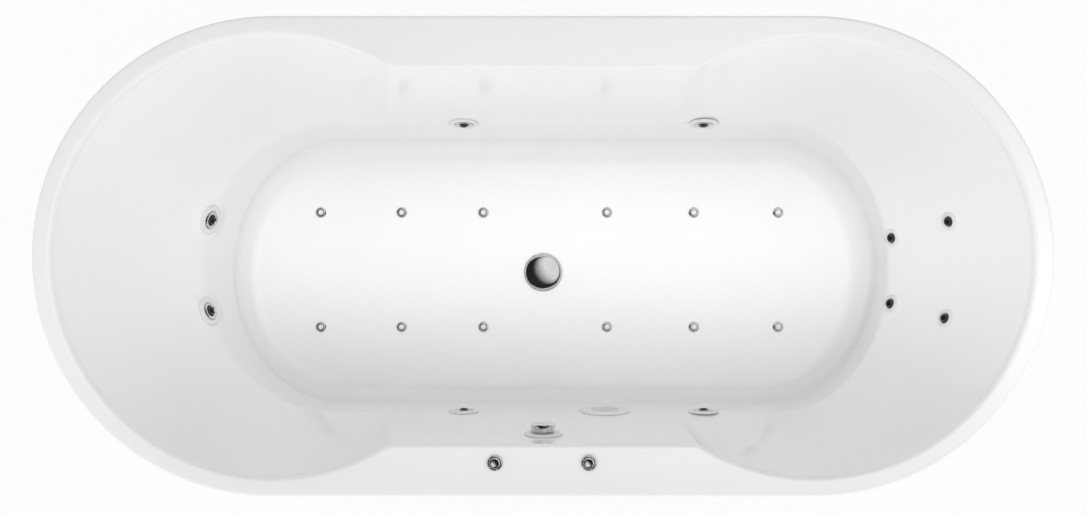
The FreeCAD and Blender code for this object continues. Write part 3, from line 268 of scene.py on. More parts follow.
def tube(name, points, radius, bend, material, sides=40, ripple=None):
    """Round pipe along a route, with a short open mouth at each end and a smooth or rippled skin."""
    path = stations(points, bend)
    if ripple:
        fine = []
        for (a, ha), (b, hb) in zip(path, path[1:]):
            count = max(1, int((b - a).length / (ripple / 6)))
            for k in range(count):
                t = k / count
                fine.append((a.lerp(b, t), ha.lerp(hb, t).normalized()))
        fine.append(path[-1])
        path = fine
    turn = Vector((0, 0, 1)).rotation_difference(path[0][1])
    heading = path[0][1]
    rings = []
    travelled = 0.0
    last = path[0][0]
    for spot, new in path:
        turn = heading.rotation_difference(new) @ turn
        heading = new
        travelled += (spot - last).length
        last = spot
        dip = 0.9 * (cos(2 * pi * travelled / ripple) - 1) if ripple else 0.0
        rings.append((spot, turn.copy(), radius + dip))
    vertices = []
    faces = []

    def ring_at(spot, turn, r):
        start = len(vertices)
        for k in range(sides):
            angle = 2 * pi * (k + 0.5) / sides
            vertices.append(spot + turn @ Vector((r * cos(angle), r * sin(angle), 0)))
        return start

    def bridge(a, b):
        for k in range(sides):
            faces.append((a + k, a + (k + 1) % sides, b + (k + 1) % sides, b + k))

    starts = [ring_at(*ring) for ring in rings]
    for a, b in zip(starts, starts[1:]):
        bridge(a, b)
    mouth_depth = 4.0
    for end, sign in ((0, 1), (-1, -1)):
        spot, turn_end, _ = rings[end]
        mouth = ring_at(spot, turn_end, radius * 0.8)
        back = ring_at(spot + turn_end @ Vector((0, 0, sign * mouth_depth)), turn_end, radius * 0.8)
        bridge(starts[end], mouth)
        bridge(mouth, back)
        faces.append([back + k for k in range(sides)])
    return mesh_object(name, vertices, faces, material, sharp=50.0)


def box_mesh(name, lows, highs, material, bevel=1.0):
    """Bevelled block between two corners, in millimetres."""
    x0, y0, z0 = lows
    x1, y1, z1 = highs
    vertices = [(x, y, z) for x in (x0, x1) for y in (y0, y1) for z in (z0, z1)]
    faces = [(0, 1, 3, 2), (4, 6, 7, 5), (0, 4, 5, 1), (2, 3, 7, 6), (0, 2, 6, 4), (1, 5, 7, 3)]
    obj = mesh_object(name, vertices, faces, material)
    bm = bmesh.new()
    bm.from_mesh(obj.data)
    bmesh.ops.bevel(bm, geom=bm.edges[:], offset=bevel * MM, segments=3, affect="EDGES", profile=0.5)
    bm.to_mesh(obj.data)
    bm.free()
    smooth(obj)
    return obj


# -------- materials
MAT = {}


def add_node(tree, kind, values=None, links=None, **settings):
    """New shader node with its settings, its input values and what feeds it."""
    node = tree.nodes.new("ShaderNode" + kind)
    for key, value in settings.items():
        setattr(node, key, value)
    for key, value in (values or {}).items():
        node.inputs[key].default_value = value
    for key, source in (links or {}).items():
        tree.links.new(source, node.inputs[key])
    return node


def feed(tree, shader, links, **values):
    """Link and set a main shader's inputs. An underscore stands for a space."""
    for key, source in links.items():
        tree.links.new(source, shader.inputs[key])
    for key, value in values.items():
        shader.inputs[key.replace("_", " ")].default_value = value


def material(name):
    """New material, kept in MAT, with its tree and its main shader."""
    made = bpy.data.materials.new(name)
    made.use_nodes = True
    MAT[name] = made
    tree = made.node_tree
    tree.nodes.clear()
    out = add_node(tree, "OutputMaterial")
    shader = add_node(tree, "BsdfPrincipled")
    tree.links.new(shader.outputs[0], out.inputs[0])
    return tree, shader


def coords(tree, scale=(1, 1, 1)):
    place = add_node(tree, "TexCoord")
    return add_node(tree, "Mapping", {"Scale": scale}, {"Vector": place.outputs["Object"]}).outputs["Vector"]


def noise(tree, vector, scale, detail=4.0, roughness=0.5):
    values = {"Scale": scale, "Detail": detail, "Roughness": roughness}
    return add_node(tree, "TexNoise", values, {"Vector": vector}).outputs["Fac"]


def ramp(tree, value, stops):
    node = add_node(tree, "ValToRGB", links={"Fac": value})
    elements = node.color_ramp.elements
    while len(elements) < len(stops):
        elements.new(0.5)
    for element, (at, colour) in zip(elements, stops):
        element.position = at
        element.color = (*colour, 1)
    return node.outputs["Color"]


def spread(tree, value, low, high, start=0.3, end=0.7, easing="LINEAR"):
    values = {"From Min": start, "From Max": end, "To Min": low, "To Max": high}
    return add_node(tree, "MapRange", values, {"Value": value}, interpolation_type=easing).outputs["Result"]


def bump(tree, height, distance, strength=1.0, under=None):
    links = {"Height": height}
    if under is not None:
        links["Normal"] = under
    return add_node(tree, "Bump", {"Strength": strength, "Distance": distance}, links).outputs["Normal"]


def shade(name, colour, roughness, metal=0.0, vary=0.03, grain=400.0, depth=0.00003, coat=0.0, broad=8.0):
    """Moulded or painted surface: colour drift, fine grain and uneven gloss."""
    tree, shader = material(name)
    vector = coords(tree)
    low = tuple(max(0.0, c * (1 - vary)) for c in colour)
    high = tuple(min(1.0, c * (1 + vary)) for c in colour)
    gloss = noise(tree, vector, broad * 3.7, 6.0)
    feed(tree, shader, {
        "Base Color": ramp(tree, noise(tree, vector, broad), ((0.3, low), (0.7, high))),
        "Roughness": spread(tree, gloss, max(0.01, roughness - 0.05), roughness + 0.05),
        "Normal": bump(tree, noise(tree, vector, grain), depth),
    }, Metallic=metal, Specular_IOR_Level=0.5, Coat_Weight=coat, Coat_Roughness=0.04)


def acrylic():
    """Thermoformed white acrylic: deep gloss, faint forming ripple, barely uneven white."""
    tree, shader = material("white_acrylic")
    vector = coords(tree)
    whites = ((0.3, (0.89, 0.893, 0.895)), (0.7, (0.905, 0.907, 0.907)))
    broad = bump(tree, noise(tree, vector, 6.0, 1.0), 0.0004, 0.5)
    feed(tree, shader, {
        "Base Color": ramp(tree, noise(tree, vector, 3.0), whites),
        "Roughness": spread(tree, noise(tree, vector, 22.0, 6.0), 0.10, 0.16),
        "Normal": bump(tree, noise(tree, vector, 260.0, 2.0), 0.00001, 0.5, broad),
    }, Specular_IOR_Level=0.5, Coat_Weight=0.25, Coat_Roughness=0.05)


def chrome():
    """Bright plate with fine polishing lines and faint water marks."""
    tree, shader = material("chrome")
    marks = noise(tree, coords(tree), 60.0, 6.0, 0.6)
    lines = noise(tree, coords(tree, (40, 900, 900)), 2.0, 2.0)
    feed(tree, shader, {
        "Base Color": ramp(tree, marks, ((0.35, (0.60, 0.61, 0.62)), (0.65, (0.70, 0.71, 0.72)))),
        "Roughness": spread(tree, marks, 0.03, 0.09),
        "Normal": bump(tree, lines, 0.000004, 0.6),
    }, Metallic=1.0)


def plywood():
    """Sealed birch ply: long grain on the faces and its plies along the edges."""
    tree, shader = material("plywood")
    grain = noise(tree, coords(tree, (6, 60, 60)), 3.0, 8.0, 0.65)
    face = ramp(tree, grain, ((0.25, (0.40, 0.25, 0.13)), (0.5, (0.60, 0.42, 0.25)), (0.75, (0.70, 0.53, 0.34))))
    wave = add_node(tree, "TexWave", {"Scale": 55.0, "Distortion": 1.2, "Detail": 3.0}, {"Vector": coords(tree)},
                    wave_type="BANDS", bands_direction="Z")
    edge = ramp(tree, wave.outputs["Fac"], ((0.35, (0.33, 0.20, 0.10)), (0.6, (0.66, 0.49, 0.30))))
    geometry = add_node(tree, "NewGeometry")
    split = add_node(tree, "SeparateXYZ", links={0: geometry.outputs["True Normal"]})
    steep = add_node(tree, "Math", links={0: split.outputs["Z"]}, operation="ABSOLUTE")
    mix = add_node(tree, "Mix", links={"Factor": steep.outputs[0], "A": edge, "B": face}, data_type="RGBA")
    feed(tree, shader, {"Base Color": mix.outputs["Result"], "Roughness": spread(tree, grain, 0.45, 0.65),
                        "Normal": bump(tree, grain, 0.0004, 0.6)})


def zinc():
    """Zinc plate: soft crystal patches and a satin sheen."""
    tree, shader = material("zinc_steel")
    vector = coords(tree)
    cells = add_node(tree, "TexVoronoi", {"Scale": 160.0}, {"Vector": vector})
    feed(tree, shader, {
        "Base Color": ramp(tree, cells.outputs["Distance"], ((0.1, (0.50, 0.51, 0.53)), (0.8, (0.64, 0.65, 0.67)))),
        "Roughness": spread(tree, noise(tree, vector, 90.0, 6.0), 0.28, 0.42),
        "Normal": bump(tree, noise(tree, vector, 700.0, 3.0), 0.00003),
    }, Metallic=1.0)


acrylic()
chrome()
shade("dark_nozzle", (0.035, 0.036, 0.04), 0.28, vary=0.2, grain=900.0)
shade("white_fitting", (0.78, 0.785, 0.79), 0.22, vary=0.02, grain=700.0, depth=0.00002)
shade("white_pvc", (0.72, 0.72, 0.70), 0.38, vary=0.05, grain=350.0, depth=0.00006, broad=14.0)
shade("grey_hose", (0.16, 0.165, 0.17), 0.55, vary=0.14, grain=500.0, depth=0.00008, broad=20.0)
shade("seal_rubber", (0.025, 0.025, 0.026), 0.6, vary=0.2, grain=900.0, depth=0.00006)
plywood()
shade("frame_paint", (0.045, 0.046, 0.05), 0.38, vary=0.2, grain=420.0, depth=0.00012, coat=0.2)
zinc()
shade("pump_black", (0.04, 0.04, 0.043), 0.45, vary=0.2, grain=800.0, depth=0.00008)
shade("motor_paint", (0.07, 0.10, 0.16), 0.36, vary=0.12, grain=380.0, depth=0.00015, coat=0.3)
shade("box_grey", (0.40, 0.41, 0.42), 0.5, vary=0.05, grain=900.0, depth=0.00009)
shade("rotor_metal", (0.62, 0.63, 0.65), 0.34, metal=1.0, vary=0.08, grain=900.0, depth=0.00004)
for entry in frame["record"]["subparts"]:
    slots = frame["nodes"][entry["node"]].data.materials
    if not slots:
        slots.append(None)
    for spot in range(len(slots)):
        slots[spot] = MAT[entry["material_slot"]]


# -------- basin surface
def arc_points(centre, reach_x, reach_y, start, end, steps):
    points = []
    for k in range(steps + 1):
        angle = start + (end - start) * k / steps
        points.append((centre + reach_x * sin(angle), reach_y * cos(angle)))
    return points


def deck_corner(level, grow, side):
    _, half, lobe, left_centre, _, right_centre, _ = level
    radius = lobe + grow
    straight = half + grow
    rounding = deck_corner_radius - grow
    centre = abs(right_centre if side > 0 else left_centre)
    back = sqrt((radius + rounding) ** 2 - (straight + rounding) ** 2)
    turn = atan2(back, straight + rounding)
    points = []
    for k in range(corner_steps + 1):
        angle = turn * k / corner_steps
        points.append((centre - back + rounding * sin(angle), straight + rounding * (1 - cos(angle))))
    return points, turn


def quarter(level, grow, side):
    _, half, lobe, left_centre, left_reach, right_centre, right_reach = level
    centre = abs(right_centre if side > 0 else left_centre)
    reach = (right_reach if side > 0 else left_reach) + grow
    lobe += grow
    straight = half + grow
    if level is RIM:
        corner, turn = deck_corner(level, grow, side)
        shoulder = arc_points(centre, lobe, lobe, -turn, 0.0, shoulder_steps)
    else:
        start = crease_corners[1 if side > 0 else 0]
        corner = [(start + deck_corner_radius / 4 * (k / corner_steps - 0.5), straight)
                  for k in range(corner_steps + 1)]
        last = corner[-1][0]
        shoulder = [(last + (centre - last) * k / shoulder_steps, straight) for k in range(shoulder_steps + 1)]
    end = arc_points(centre, reach, lobe, 0.0, pi / 2, end_steps)
    return [(side * x, y) for x, y in corner + shoulder[1:] + end[1:]]


def with_middle(left, right):
    """Far side of a ring, with the straight between its corners divided."""
    first = Vector(left[0])
    last = Vector(right[0])
    middle = [tuple(first.lerp(last, k / middle_steps)) for k in range(1, middle_steps)]
    return left[::-1] + middle + right


def ring_3d(far, z):
    near = [(x, -y) for x, y in far[-2:0:-1]]
    return [Vector((x, y, z)) for x, y in far + near]


def section(level, grow=0.0, depth=None):
    """Ring of the basin at a level, grown outwards."""
    far = with_middle(quarter(level, grow, -1), quarter(level, grow, 1))
    return ring_3d(far, rim_height - (level[0] if depth is None else depth))


def rim_section(inset, depth):
    radius = half_width - inset
    flat_steps = corner_steps + shoulder_steps
    start = end_centre - radius / 2
    flat = [(start + (end_centre - start) * k / flat_steps, radius) for k in range(flat_steps + 1)]
    right = flat + arc_points(end_centre, radius, radius, 0.0, pi / 2, end_steps)[1:]
    left = [(-x, y) for x, y in right]
    return ring_3d(with_middle(left, right), rim_height - depth)


def blended(lower, upper, steps):
    return [[a.lerp(b, k / steps) for a, b in zip(lower, upper)] for k in range(1, steps)]


def basin_rings(grow, steps, wall_count):
    """Rings up the basin skin from the flat floor to the rim's opening."""
    radius = floor_radius + grow
    rings = []
    for k in range(steps, -1, -1):
        angle = pi / 2 * k / steps
        inset = radius * (1 - cos(angle))
        rings.append(section(FOOT, grow - inset, FOOT[0] + radius * sin(angle)))
    crease = section(CREASE, grow)
    rings += blended(rings[-1], crease, max(2, wall_count // 4)) + [crease]
    return rings


def opening_rings():
    rings = []
    for k in range(edge_steps + 1):
        angle = pi / 2 * k / edge_steps
        flare = opening_edge_radius * (1 - cos(angle))
        rings.append(section(RIM, flare, opening_edge_radius * (1 - sin(angle))))
    return rings


def rim_rings():
    rings = []
    for k in range(edge_steps + 1):
        angle = pi / 2 * k / edge_steps
        rings.append(rim_section(rim_edge_radius * (1 - sin(angle)), rim_edge_radius * (1 - cos(angle))))
    for inset, depth in ((0.0, lip_height - 1.5), (0.5, lip_height - 0.4), (1.5, lip_height),
                         (rim_sheet - 0.5, lip_height), (rim_sheet, lip_height - 0.5), (rim_sheet, rim_sheet)):
        rings.append(rim_section(inset, depth))
    return rings


def level_at(depth):
    upper, lower = (CREASE, FOOT) if depth > crease_depth else (RIM, CREASE)
    share = (depth - upper[0]) / (lower[0] - upper[0])
    return [(1 - share) * a + share * b for a, b in zip(upper[1:], lower[1:])]


def end_point(y, depth, side):
    _, lobe, left_centre, left_reach, right_centre, right_reach = level_at(depth)
    cosine = sqrt(1 - (y / lobe) ** 2)
    if side > 0:
        return Vector((right_centre + right_reach * cosine, y, rim_height - depth))
    return Vector((left_centre - left_reach * cosine, y, rim_height - depth))


def seat(point, inward, along):
    across = inward.cross(along)
    rotation = Matrix((along, across, inward)).transposed().to_4x4()
    return Matrix.Translation(point) @ rotation


def end_seat(y, depth, side, lift):
    step = 6.0
    point = end_point(y, depth, side)
    along = (end_point(y + step, depth, side) - end_point(y - step, depth, side)).normalized()
    down = (end_point(y, depth + step, side) - end_point(y, depth - step, side)).normalized()
    inward = along.cross(down).normalized()
    if inward.x * side > 0:
        inward = inward * -1
    along = (along - inward * along.dot(inward)).normalized()
    return seat(point + inward * lift, inward, along)


def side_seat(x, depth, side):
    here = level_at(depth)[0]
    slope = atan2(level_at(crease_depth / 2)[0] - CREASE[1], crease_depth / 2)
    inward = Vector((0, -side * cos(slope), sin(slope)))
    return seat(Vector((x, side * here, rim_height - depth)), inward, Vector((side, 0, 0)))


end_pad_lift = 2.5
jet_seats = [side_seat(x, crease_depth, side) for side in (1, -1) for x in (-147.0, 298.0)]
jet_seats += [end_seat(y, crease_depth, -1, end_pad_lift) for y in (-82.0, 89.0)]
back_pad_lift = 1.6
back_seats = [end_seat(y, depth, 1, back_pad_lift)
              for y, depth in ((-99.0, 160.0), (73.0, 160.0), (-68.0, 285.0), (54.0, 285.0))]
overflow_seat = side_seat(0.0, 85.0, -1)
suction_seat = side_seat(115.0, 305.0, -1)
air_rows = (-107.0, 117.0)
air_columns = (-435.0, -277.0, -117.0, 125.0, 295.0, 460.0)
air_spots = [(x, y) for y in air_rows for x in air_columns]
button_spots = [(-80.0, -343.0), (76.0, -343.0)]
jet_tails = [wall + 3.2] * 4 + [end_pad_lift + wall + 4.0] * 2
back_tail = back_pad_lift + wall + 0.8


# -------- shell
def raised_pads(rings, seats, flat_radius, blend_radius):
    """Ease the skin up to each moulded flat seat."""
    for place in seats:
        back = place.inverted()
        for ring in rings:
            for point in ring:
                if (point - place.translation).length > 2 * blend_radius:
                    continue
                local = back @ point
                off = hypot(local.x, local.y)
                if off > blend_radius or abs(local.z) > 30:
                    continue
                share = 1.0
                if off > flat_radius:
                    t = (off - flat_radius) / (blend_radius - flat_radius)
                    share = 1 - t * t * (3 - 2 * t)
                local.z *= 1 - share
                moved = place @ local
                point.x, point.y, point.z = moved


def round_cutter(radius, z0, z1, place, material="white_acrylic", steps=48):
    return lathe("hole", ((0, z0), (radius, z0), (radius, z1), (0, z1)), material, steps, place, soft=0)


def tub_shell():
    opening = opening_rings()
    low = basin_rings(0.0, 10, wall_steps)
    inner = low + blended(low[-1], opening[0], wall_steps) + opening
    raised_pads(inner, jet_seats[4:], 31.0, 46.0)
    raised_pads(inner, back_seats, 18.5, 27.0)
    under = basin_rings(wall, 6, 4)
    under_top = section(RIM, wall, rim_sheet)
    outside = under + blended(under[-1], under_top, 6) + [under_top]
    rings = inner + rim_rings() + outside[::-1]
    vertices = [point for ring in rings for point in ring]
    faces = []
    count = len(rings[0])
    for j in range(len(rings) - 1):
        for k in range(count):
            a = j * count + k
            b = j * count + (k + 1) % count
            faces.append((a, b, b + count, a + count))
    faces.append(list(range(count)))
    faces.append(list(range((len(rings) - 1) * count, len(rings) * count)))
    shell = mesh_object("shell.skin", vertices, faces, "white_acrylic", sharp=32.0)
    cutters = [round_cutter(20.3, -30, 30, place) for place in jet_seats]
    cutters += [round_cutter(12.7, -30, 30, place) for place in back_seats]
    cutters.append(round_cutter(32.3, -30, 30, suction_seat))
    cutters.append(round_cutter(14.8, -30, 30, overflow_seat))
    cutters.append(round_cutter(27.3, shell_bottom - 1, floor_z + 1, upright(0, 0)))
    cutters += [round_cutter(6.8, shell_bottom - 1, floor_z + 1, upright(x, y)) for x, y in air_spots]
    cutters += [round_cutter(11.5, rim_height - 12, rim_height + 1, upright(x, y)) for x, y in button_spots]
    cut_away(shell, cutters)
    smooth(shell, 32.0)
    return shell


dress(tub_shell(), "tub", "white_acrylic", "tub_shell")

# -------- jets
jet_bore = 16.6 + slide_gap
flange_pieces = []
for k, (place, tail) in enumerate(zip(jet_seats, jet_tails), 1):
    flange_pieces.append(lathe("flange", (
        (jet_bore, -tail), (20.0, -tail), (20.0, seat_gap), (28.0, seat_gap), (28.0, 1.1), (25.5, 3.1),
        (23.0, 3.5), (18.6, 3.5), (jet_bore, 2.6)), "white_fitting", 96, place, soft=0.6))
    ring = lathe("jet_ring.%d" % k, (
        (9.75, -4.5), (15.6, -4.5), (16.4, -2.5), (16.4, 3.2), (14.4, 4.5), (11.4, 4.2), (9.75, 2.4)),
        "chrome", 144, place, soft=0.5,
        shape=lambda angle, r, z: r - (0.55 * max(0.0, cos(12 * angle)) ** 6 if r > 14 and z > 2 else 0.0))
    dress(ring, "jet_control_%d" % k, "chrome", "jet_ring_%d" % k)


def eyeball(name, place):
    """Ball nozzle with its flared mouth and bore."""
    radius = 8.82
    angles = [radians(-48 + (44 + 48) * j / 12) for j in range(13)]
    ball = [(radius * cos(angle), radius * sin(angle)) for angle in angles]
    outline = [(3.6, -6.6)] + ball + [(5.9, 6.25), (4.6, 5.2), (3.6, 2.5)]
    return lathe(name, outline, "dark_nozzle", 64, place, soft=0.25)


for k, place in enumerate(jet_seats, 1):
    dress(eyeball("jet_eye.%d" % k, place), "jet_eyeball_%d" % k, "dark_nozzle", "jet_nozzle_%d" % k)
for k, place in enumerate(back_seats, 1):
    flange_pieces.append(lathe("flange", (
        (9.3, -back_tail), (12.4, -back_tail), (12.4, seat_gap), (16.5, seat_gap), (16.5, 0.9), (14.6, 2.1),
        (11.6, 2.6), (9.3, 1.7)), "white_fitting", 80, place, soft=0.4))
    dress(eyeball("back_eye.%d" % k, place), "back_eyeball_%d" % k, "dark_nozzle", "back_nozzle_%d" % k)
dress(joined("jet_flange.set", flange_pieces), "tub", "white_fitting", "jet_flanges")


def jet_body(place, radius, across, length, tail):
    """Hexagon collar and ribbed round chamber behind the wall."""
    top = -tail - seat_gap
    corner = across / sqrt(3)
    collar = lathe("collar", ((0, top - 8), (corner - 1, top - 8), (corner, top - 7), (corner, top - 1),
                              (corner - 1, top), (0, top)), "white_pvc", 6, place, soft=0.4, sharp=20)
    end = top - length
    flat = radius * cos(pi / 8)
    chamber = lathe("chamber", ((0, end), (flat - 2, end), (flat, end + 2), (flat, top - 20), (flat - 1.2, top - 19),
                                (flat - 1.2, top - 12), (flat, top - 11), (flat, top - 7), (0, top - 7)),
                    "white_pvc", 48, place, soft=0.6)
    return [collar, chamber]


body_pieces = []
for place, tail in zip(jet_seats, jet_tails):
    body_pieces += jet_body(place, 22.0, 48.0, 56.0, tail)
for place in back_seats:
    body_pieces += jet_body(place, 14.0, 30.0, 26.0, back_tail)
dress(joined("jet_body.set", body_pieces), "tub", "white_pvc", "jet_bodies")

# -------- air jets
cap_pieces = []
shank_pieces = []
for x, y in air_spots:
    place = upright(x, y, floor_z + seat_gap)
    cap_pieces.append(lathe("cap", ((0, 0), (10.4, 0), (10.4, 0.5), (8.4, 1.9), (7.0, 2.1), (6.2, 1.5), (5.6, 1.5),
                                    (4.8, 2.45), (0, 2.5)), "chrome", 56, place, soft=0.3))
    cap_pieces.append(lathe("button", ((0, 1.9), (4.4, 1.9), (4.4, 2.5), (3.6, 2.5), (0, 2.5)), "white_fitting",
                            40, place, soft=0.1))
    top = shell_bottom - seat_gap
    base = upright(x, y)
    shank_pieces.append(lathe("nut", ((0, top - 6), (10.6, top - 6), (11.1, top - 5.4), (11.1, top - 0.6),
                                      (10.6, top), (0, top)), "white_pvc", 6, base, soft=0.3, sharp=20))
    threads = [(0, 85.0), (5.6, 85.0)]
    z = 87.0
    while z < floor_z - 1:
        threads += [(5.6, z), (6.2, z + 0.9)]
        z += 1.8
    threads += [(5.6, floor_z), (0, floor_z)]
    shank_pieces.append(lathe("shank", threads, "white_pvc", 28, base, soft=0))
dress(joined("air_cap.set", cap_pieces), "tub", "chrome", "air_jet_caps")
dress(joined("air_shank.set", shank_pieces), "tub", "white_pvc", "air_jet_bodies")
sideways = Matrix.Rotation(pi / 2, 4, "Y")
rail_z = 75
rail_radius = 9.9
rail_end = 479.6
across_x = -470
rail_pieces = []
for y in air_rows:
    rail_pieces.append(tube("rail", ((-rail_end, y, rail_z), (rail_end, y, rail_z)), rail_radius, 20, "white_pvc"))
    for x in air_columns:
        turn = upright(x, y, rail_z) @ sideways
        rail_pieces.append(lathe("saddle", ((9.7, -11), (9.98, -11), (9.98, 11), (9.7, 11)), "white_pvc",
                                 40, turn, soft=0.1))
rail_pieces.append(tube("rail", [(across_x, y, rail_z) for y in air_rows], rail_radius, 20, "white_pvc"))
dress(joined("air_rail.set", rail_pieces), "tub", "white_pvc", "air_rails")

# -------- suction
grille = lathe("suction.grille", (
    (0, seat_gap), (47.0, seat_gap), (47.0, 1.3), (44.5, 2.9), (38.0, 4.6), (33.0, 4.8), (31.0, 4.0), (0, 4.0)),
    "white_fitting", 128, suction_seat, soft=0.5)
hole_pitch = 5.5
holes = []
for row in range(-9, 10):
    for column in range(-18, 19):
        x = (column + 0.5 * row) * hole_pitch
        y = row * hole_pitch * sqrt(3) / 2
        if hypot(x, y) < 27.5:
            holes.append(round_cutter(1.8, -1, 7, suction_seat @ upright(x, y), "white_fitting", 16))
cut_away(grille, holes)
dress(grille, "tub", "white_fitting", "suction_grille")
cup_back = -wall - 45.0
nut_top = -wall - 1.5
cup = lathe("suction.cup", (
    (0, cup_back), (27.6, cup_back), (29.5, cup_back + 2), (29.5, nut_top - 8), (29.5, 0), (28.4, 0),
    (28.4, cup_back + 3), (0, cup_back + 3)), "white_pvc", 72, suction_seat, soft=0.5)
nut = lathe("suction.nut", ((29.4, nut_top - 8), (41.6, nut_top - 8), (41.6, nut_top), (29.4, nut_top)),
            "white_pvc", 160, suction_seat, soft=0.6,
            shape=lambda angle, r, z: r - (2.0 if r > 35 and cos(16 * angle) > 0.2 else 0.0))
dress(joined("suction.back", [cup, nut]), "tub", "white_pvc", "suction_body")

# -------- waste and overflow
flange_top = floor_z + seat_gap + 2.0
waste_low = shell_bottom - 6.0
flange = lathe("drain.flange", (
    (24.0, waste_low), (27.0, waste_low), (27.0, floor_z + seat_gap), (38.0, floor_z + seat_gap), (37.4, 151.1),
    (36.2, 151.9), (35.6, flange_top), (26.0, flange_top), (24.0, flange_top - 1.5)), "chrome", 128, None, 0.4)
hub = lathe("drain.hub", ((4.3, waste_low), (8.0, waste_low), (8.0, waste_low + 8), (4.3, waste_low + 8)),
            "chrome", 48, None, 0.4)
arms = [flange, hub]
for k in range(3):
    arm = box_mesh("arm", (7.5, -2.0, waste_low + 0.2), (24.5, 2.0, waste_low + 7.8), "chrome", 0.8)
    arms.append(turned(arm, k / 3))
dress(joined("drain.flange", arms), "tub", "chrome", "drain_flange")
base = floor_z + 2 * seat_gap + 2.0
dome = [(0, base - 6.0), (19.8, base - 6.0), (19.8, base), (34.4, base), (35.0, base + 0.6), (35.0, base + 2.0),
        (34.5, base + 2.5)]
for j in range(1, 13):
    t = j / 12
    dome.append((34.5 * cos(t * pi / 2), base + 2.5 + 4.5 * sin(t * pi / 2)))
dome[-1] = (0, base + 7.0)
cap = lathe("plug.cap", dome, "chrome", 128, None, soft=0.15)
stem = lathe("plug.stem", ((0, 125.0), (3.4, 125.0), (4.0, 125.8), (4.0, base), (0, base)), "chrome", 40, None, 0.3)
dress(joined("plug.cap", [cap, stem]), "plug", "chrome", "drain_plug")
seal_mid = base - 3.0
dress(lathe("plug.seal", ((19.9, seal_mid - 1.5), (21.2, seal_mid - 1.4), (22.9, seal_mid), (21.2, seal_mid + 1.4),
                          (19.9, seal_mid + 1.5)), "seal_rubber", 96, None, 0.3),
      "plug", "seal_rubber", "plug_seal")
trap = lathe("trap.body", (
    (0, 20.0), (34.0, 20.0), (39.0, 22.5), (41.3, 27.0), (41.3, 46.0), (40.2, 47.0), (40.2, 50.0), (41.3, 51.0),
    (41.3, 78.0), (31.8, 84.0), (31.0, 88.0), (31.0, 136.5), (39.6, 137.0), (39.6, shell_bottom),
    (27.5, shell_bottom), (27.5, 84.5), (0, 84.5)), "white_pvc", 96, None, 0.7)
ribs = [trap]
for k in range(16):
    rib = box_mesh("rib", (38.0, -1.5, 28.0), (41.4, 1.5, 44.0), "white_pvc", 0.7)
    ribs.append(turned(rib, (k + 0.5) / 16))
outlet_z = 58
outlet_seat = upright(0, 0, outlet_z) @ sideways
ribs.append(lathe("spigot", ((17.5, 38), (20.0, 38), (20.0, 149), (19.2, 150), (17.8, 150), (17.5, 149)),
                  "white_pvc", 64, outlet_seat, 0.3))


def knurled(angle, r, z):
    return r - (1.2 if r > 23 and cos(12 * angle) > 0.3 else 0)


ribs.append(lathe("spigot.nut", ((19.9, 41), (25.5, 41), (25.5, 58), (24.0, 60), (19.9, 60)), "white_pvc",
                  120, outlet_seat, 0.6, shape=knurled))
dress(joined("trap.body", ribs), "tub", "white_pvc", "waste_trap")

rosette = lathe("overflow.rosette", (
    (5.1, seat_gap), (33.0, seat_gap), (33.0, 1.2), (31.6, 3.4), (29.0, 4.3), (5.1, 4.3)), "white_fitting", 128,
    overflow_seat, 0.5)
slots = []
for offset in (-18, 0, 18):
    cutter = box_mesh("slot", (offset - 6, -28, -1), (offset + 6, -22.5, 6), "white_fitting", 1.5)
    slots.append(placed(cutter, overflow_seat))
cut_away(rosette, slots)
dress(rosette, "tub", "white_fitting", "overflow_rosette")


def fluted(angle, r, z):
    if r < 17 or z > 14:
        return r
    return r - 1.5 * max(0.0, cos(6 * angle)) ** 8


knob_low = 4.6
knob = lathe("overflow.knob", (
    (0, knob_low), (19.2, knob_low), (20.6, 8.0), (20.9, 13.5), (20.9, 17.6), (19.4, 19.3), (16.0, 19.6), (0, 19.0)),
    "chrome", 144, overflow_seat, 0.8, shape=fluted)
stem = lathe("overflow.stem", ((0, -27), (4.6, -27), (5.0, -26.4), (5.0, 5), (0, 5)), "chrome", 40,
             overflow_seat, 0.3)
dress(joined("overflow.knob", [knob, stem]), "knob", "chrome", "overflow_knob")
elbow = lathe("overflow.elbow", (
    (0, -41.3), (25.0, -41.3), (27.5, -39.5), (27.5, -12.0), (26.0, -8.0), (27.5, -7.6), (27.5, -7.3), (14.4, -7.3),
    (14.4, 0), (11.4, 0), (11.4, -37.0), (0, -37.0)), "white_pvc", 80, overflow_seat, 0.6)
dress(elbow, "tub", "white_pvc", "overflow_elbow")
elbow_length = 34.0
drop_y = -360.0
inlet_z = 38
trap_flat = 42 * cos(pi / 20)
back = overflow_seat @ Vector((0, 0, -wall - 2 * seat_gap - elbow_length))
outward = -(overflow_seat.to_3x3() @ Vector((0, 0, 1)))
corner = back + outward * ((drop_y - back.y) / outward.y)
route = (back, corner, (0, drop_y, inlet_z), (0, -trap_flat - seat_gap, inlet_z))
dress(tube("overflow.pipe", route, 11.1, 14, "white_pvc"), "tub", "white_pvc", "overflow_pipe")
middle = overflow_seat @ Vector((0, 0, -wall - 0.65 * elbow_length))
cable_x = -20
cable_z = 30
route = ((cable_x, middle.y, middle.z - 29.3), (cable_x, middle.y, cable_z), (cable_x, -38, cable_z))
dress(tube("overflow.cable", route, 2.2, 40, "grey_hose", sides=20, ripple=1.6), "tub", "grey_hose", "lift_cable")

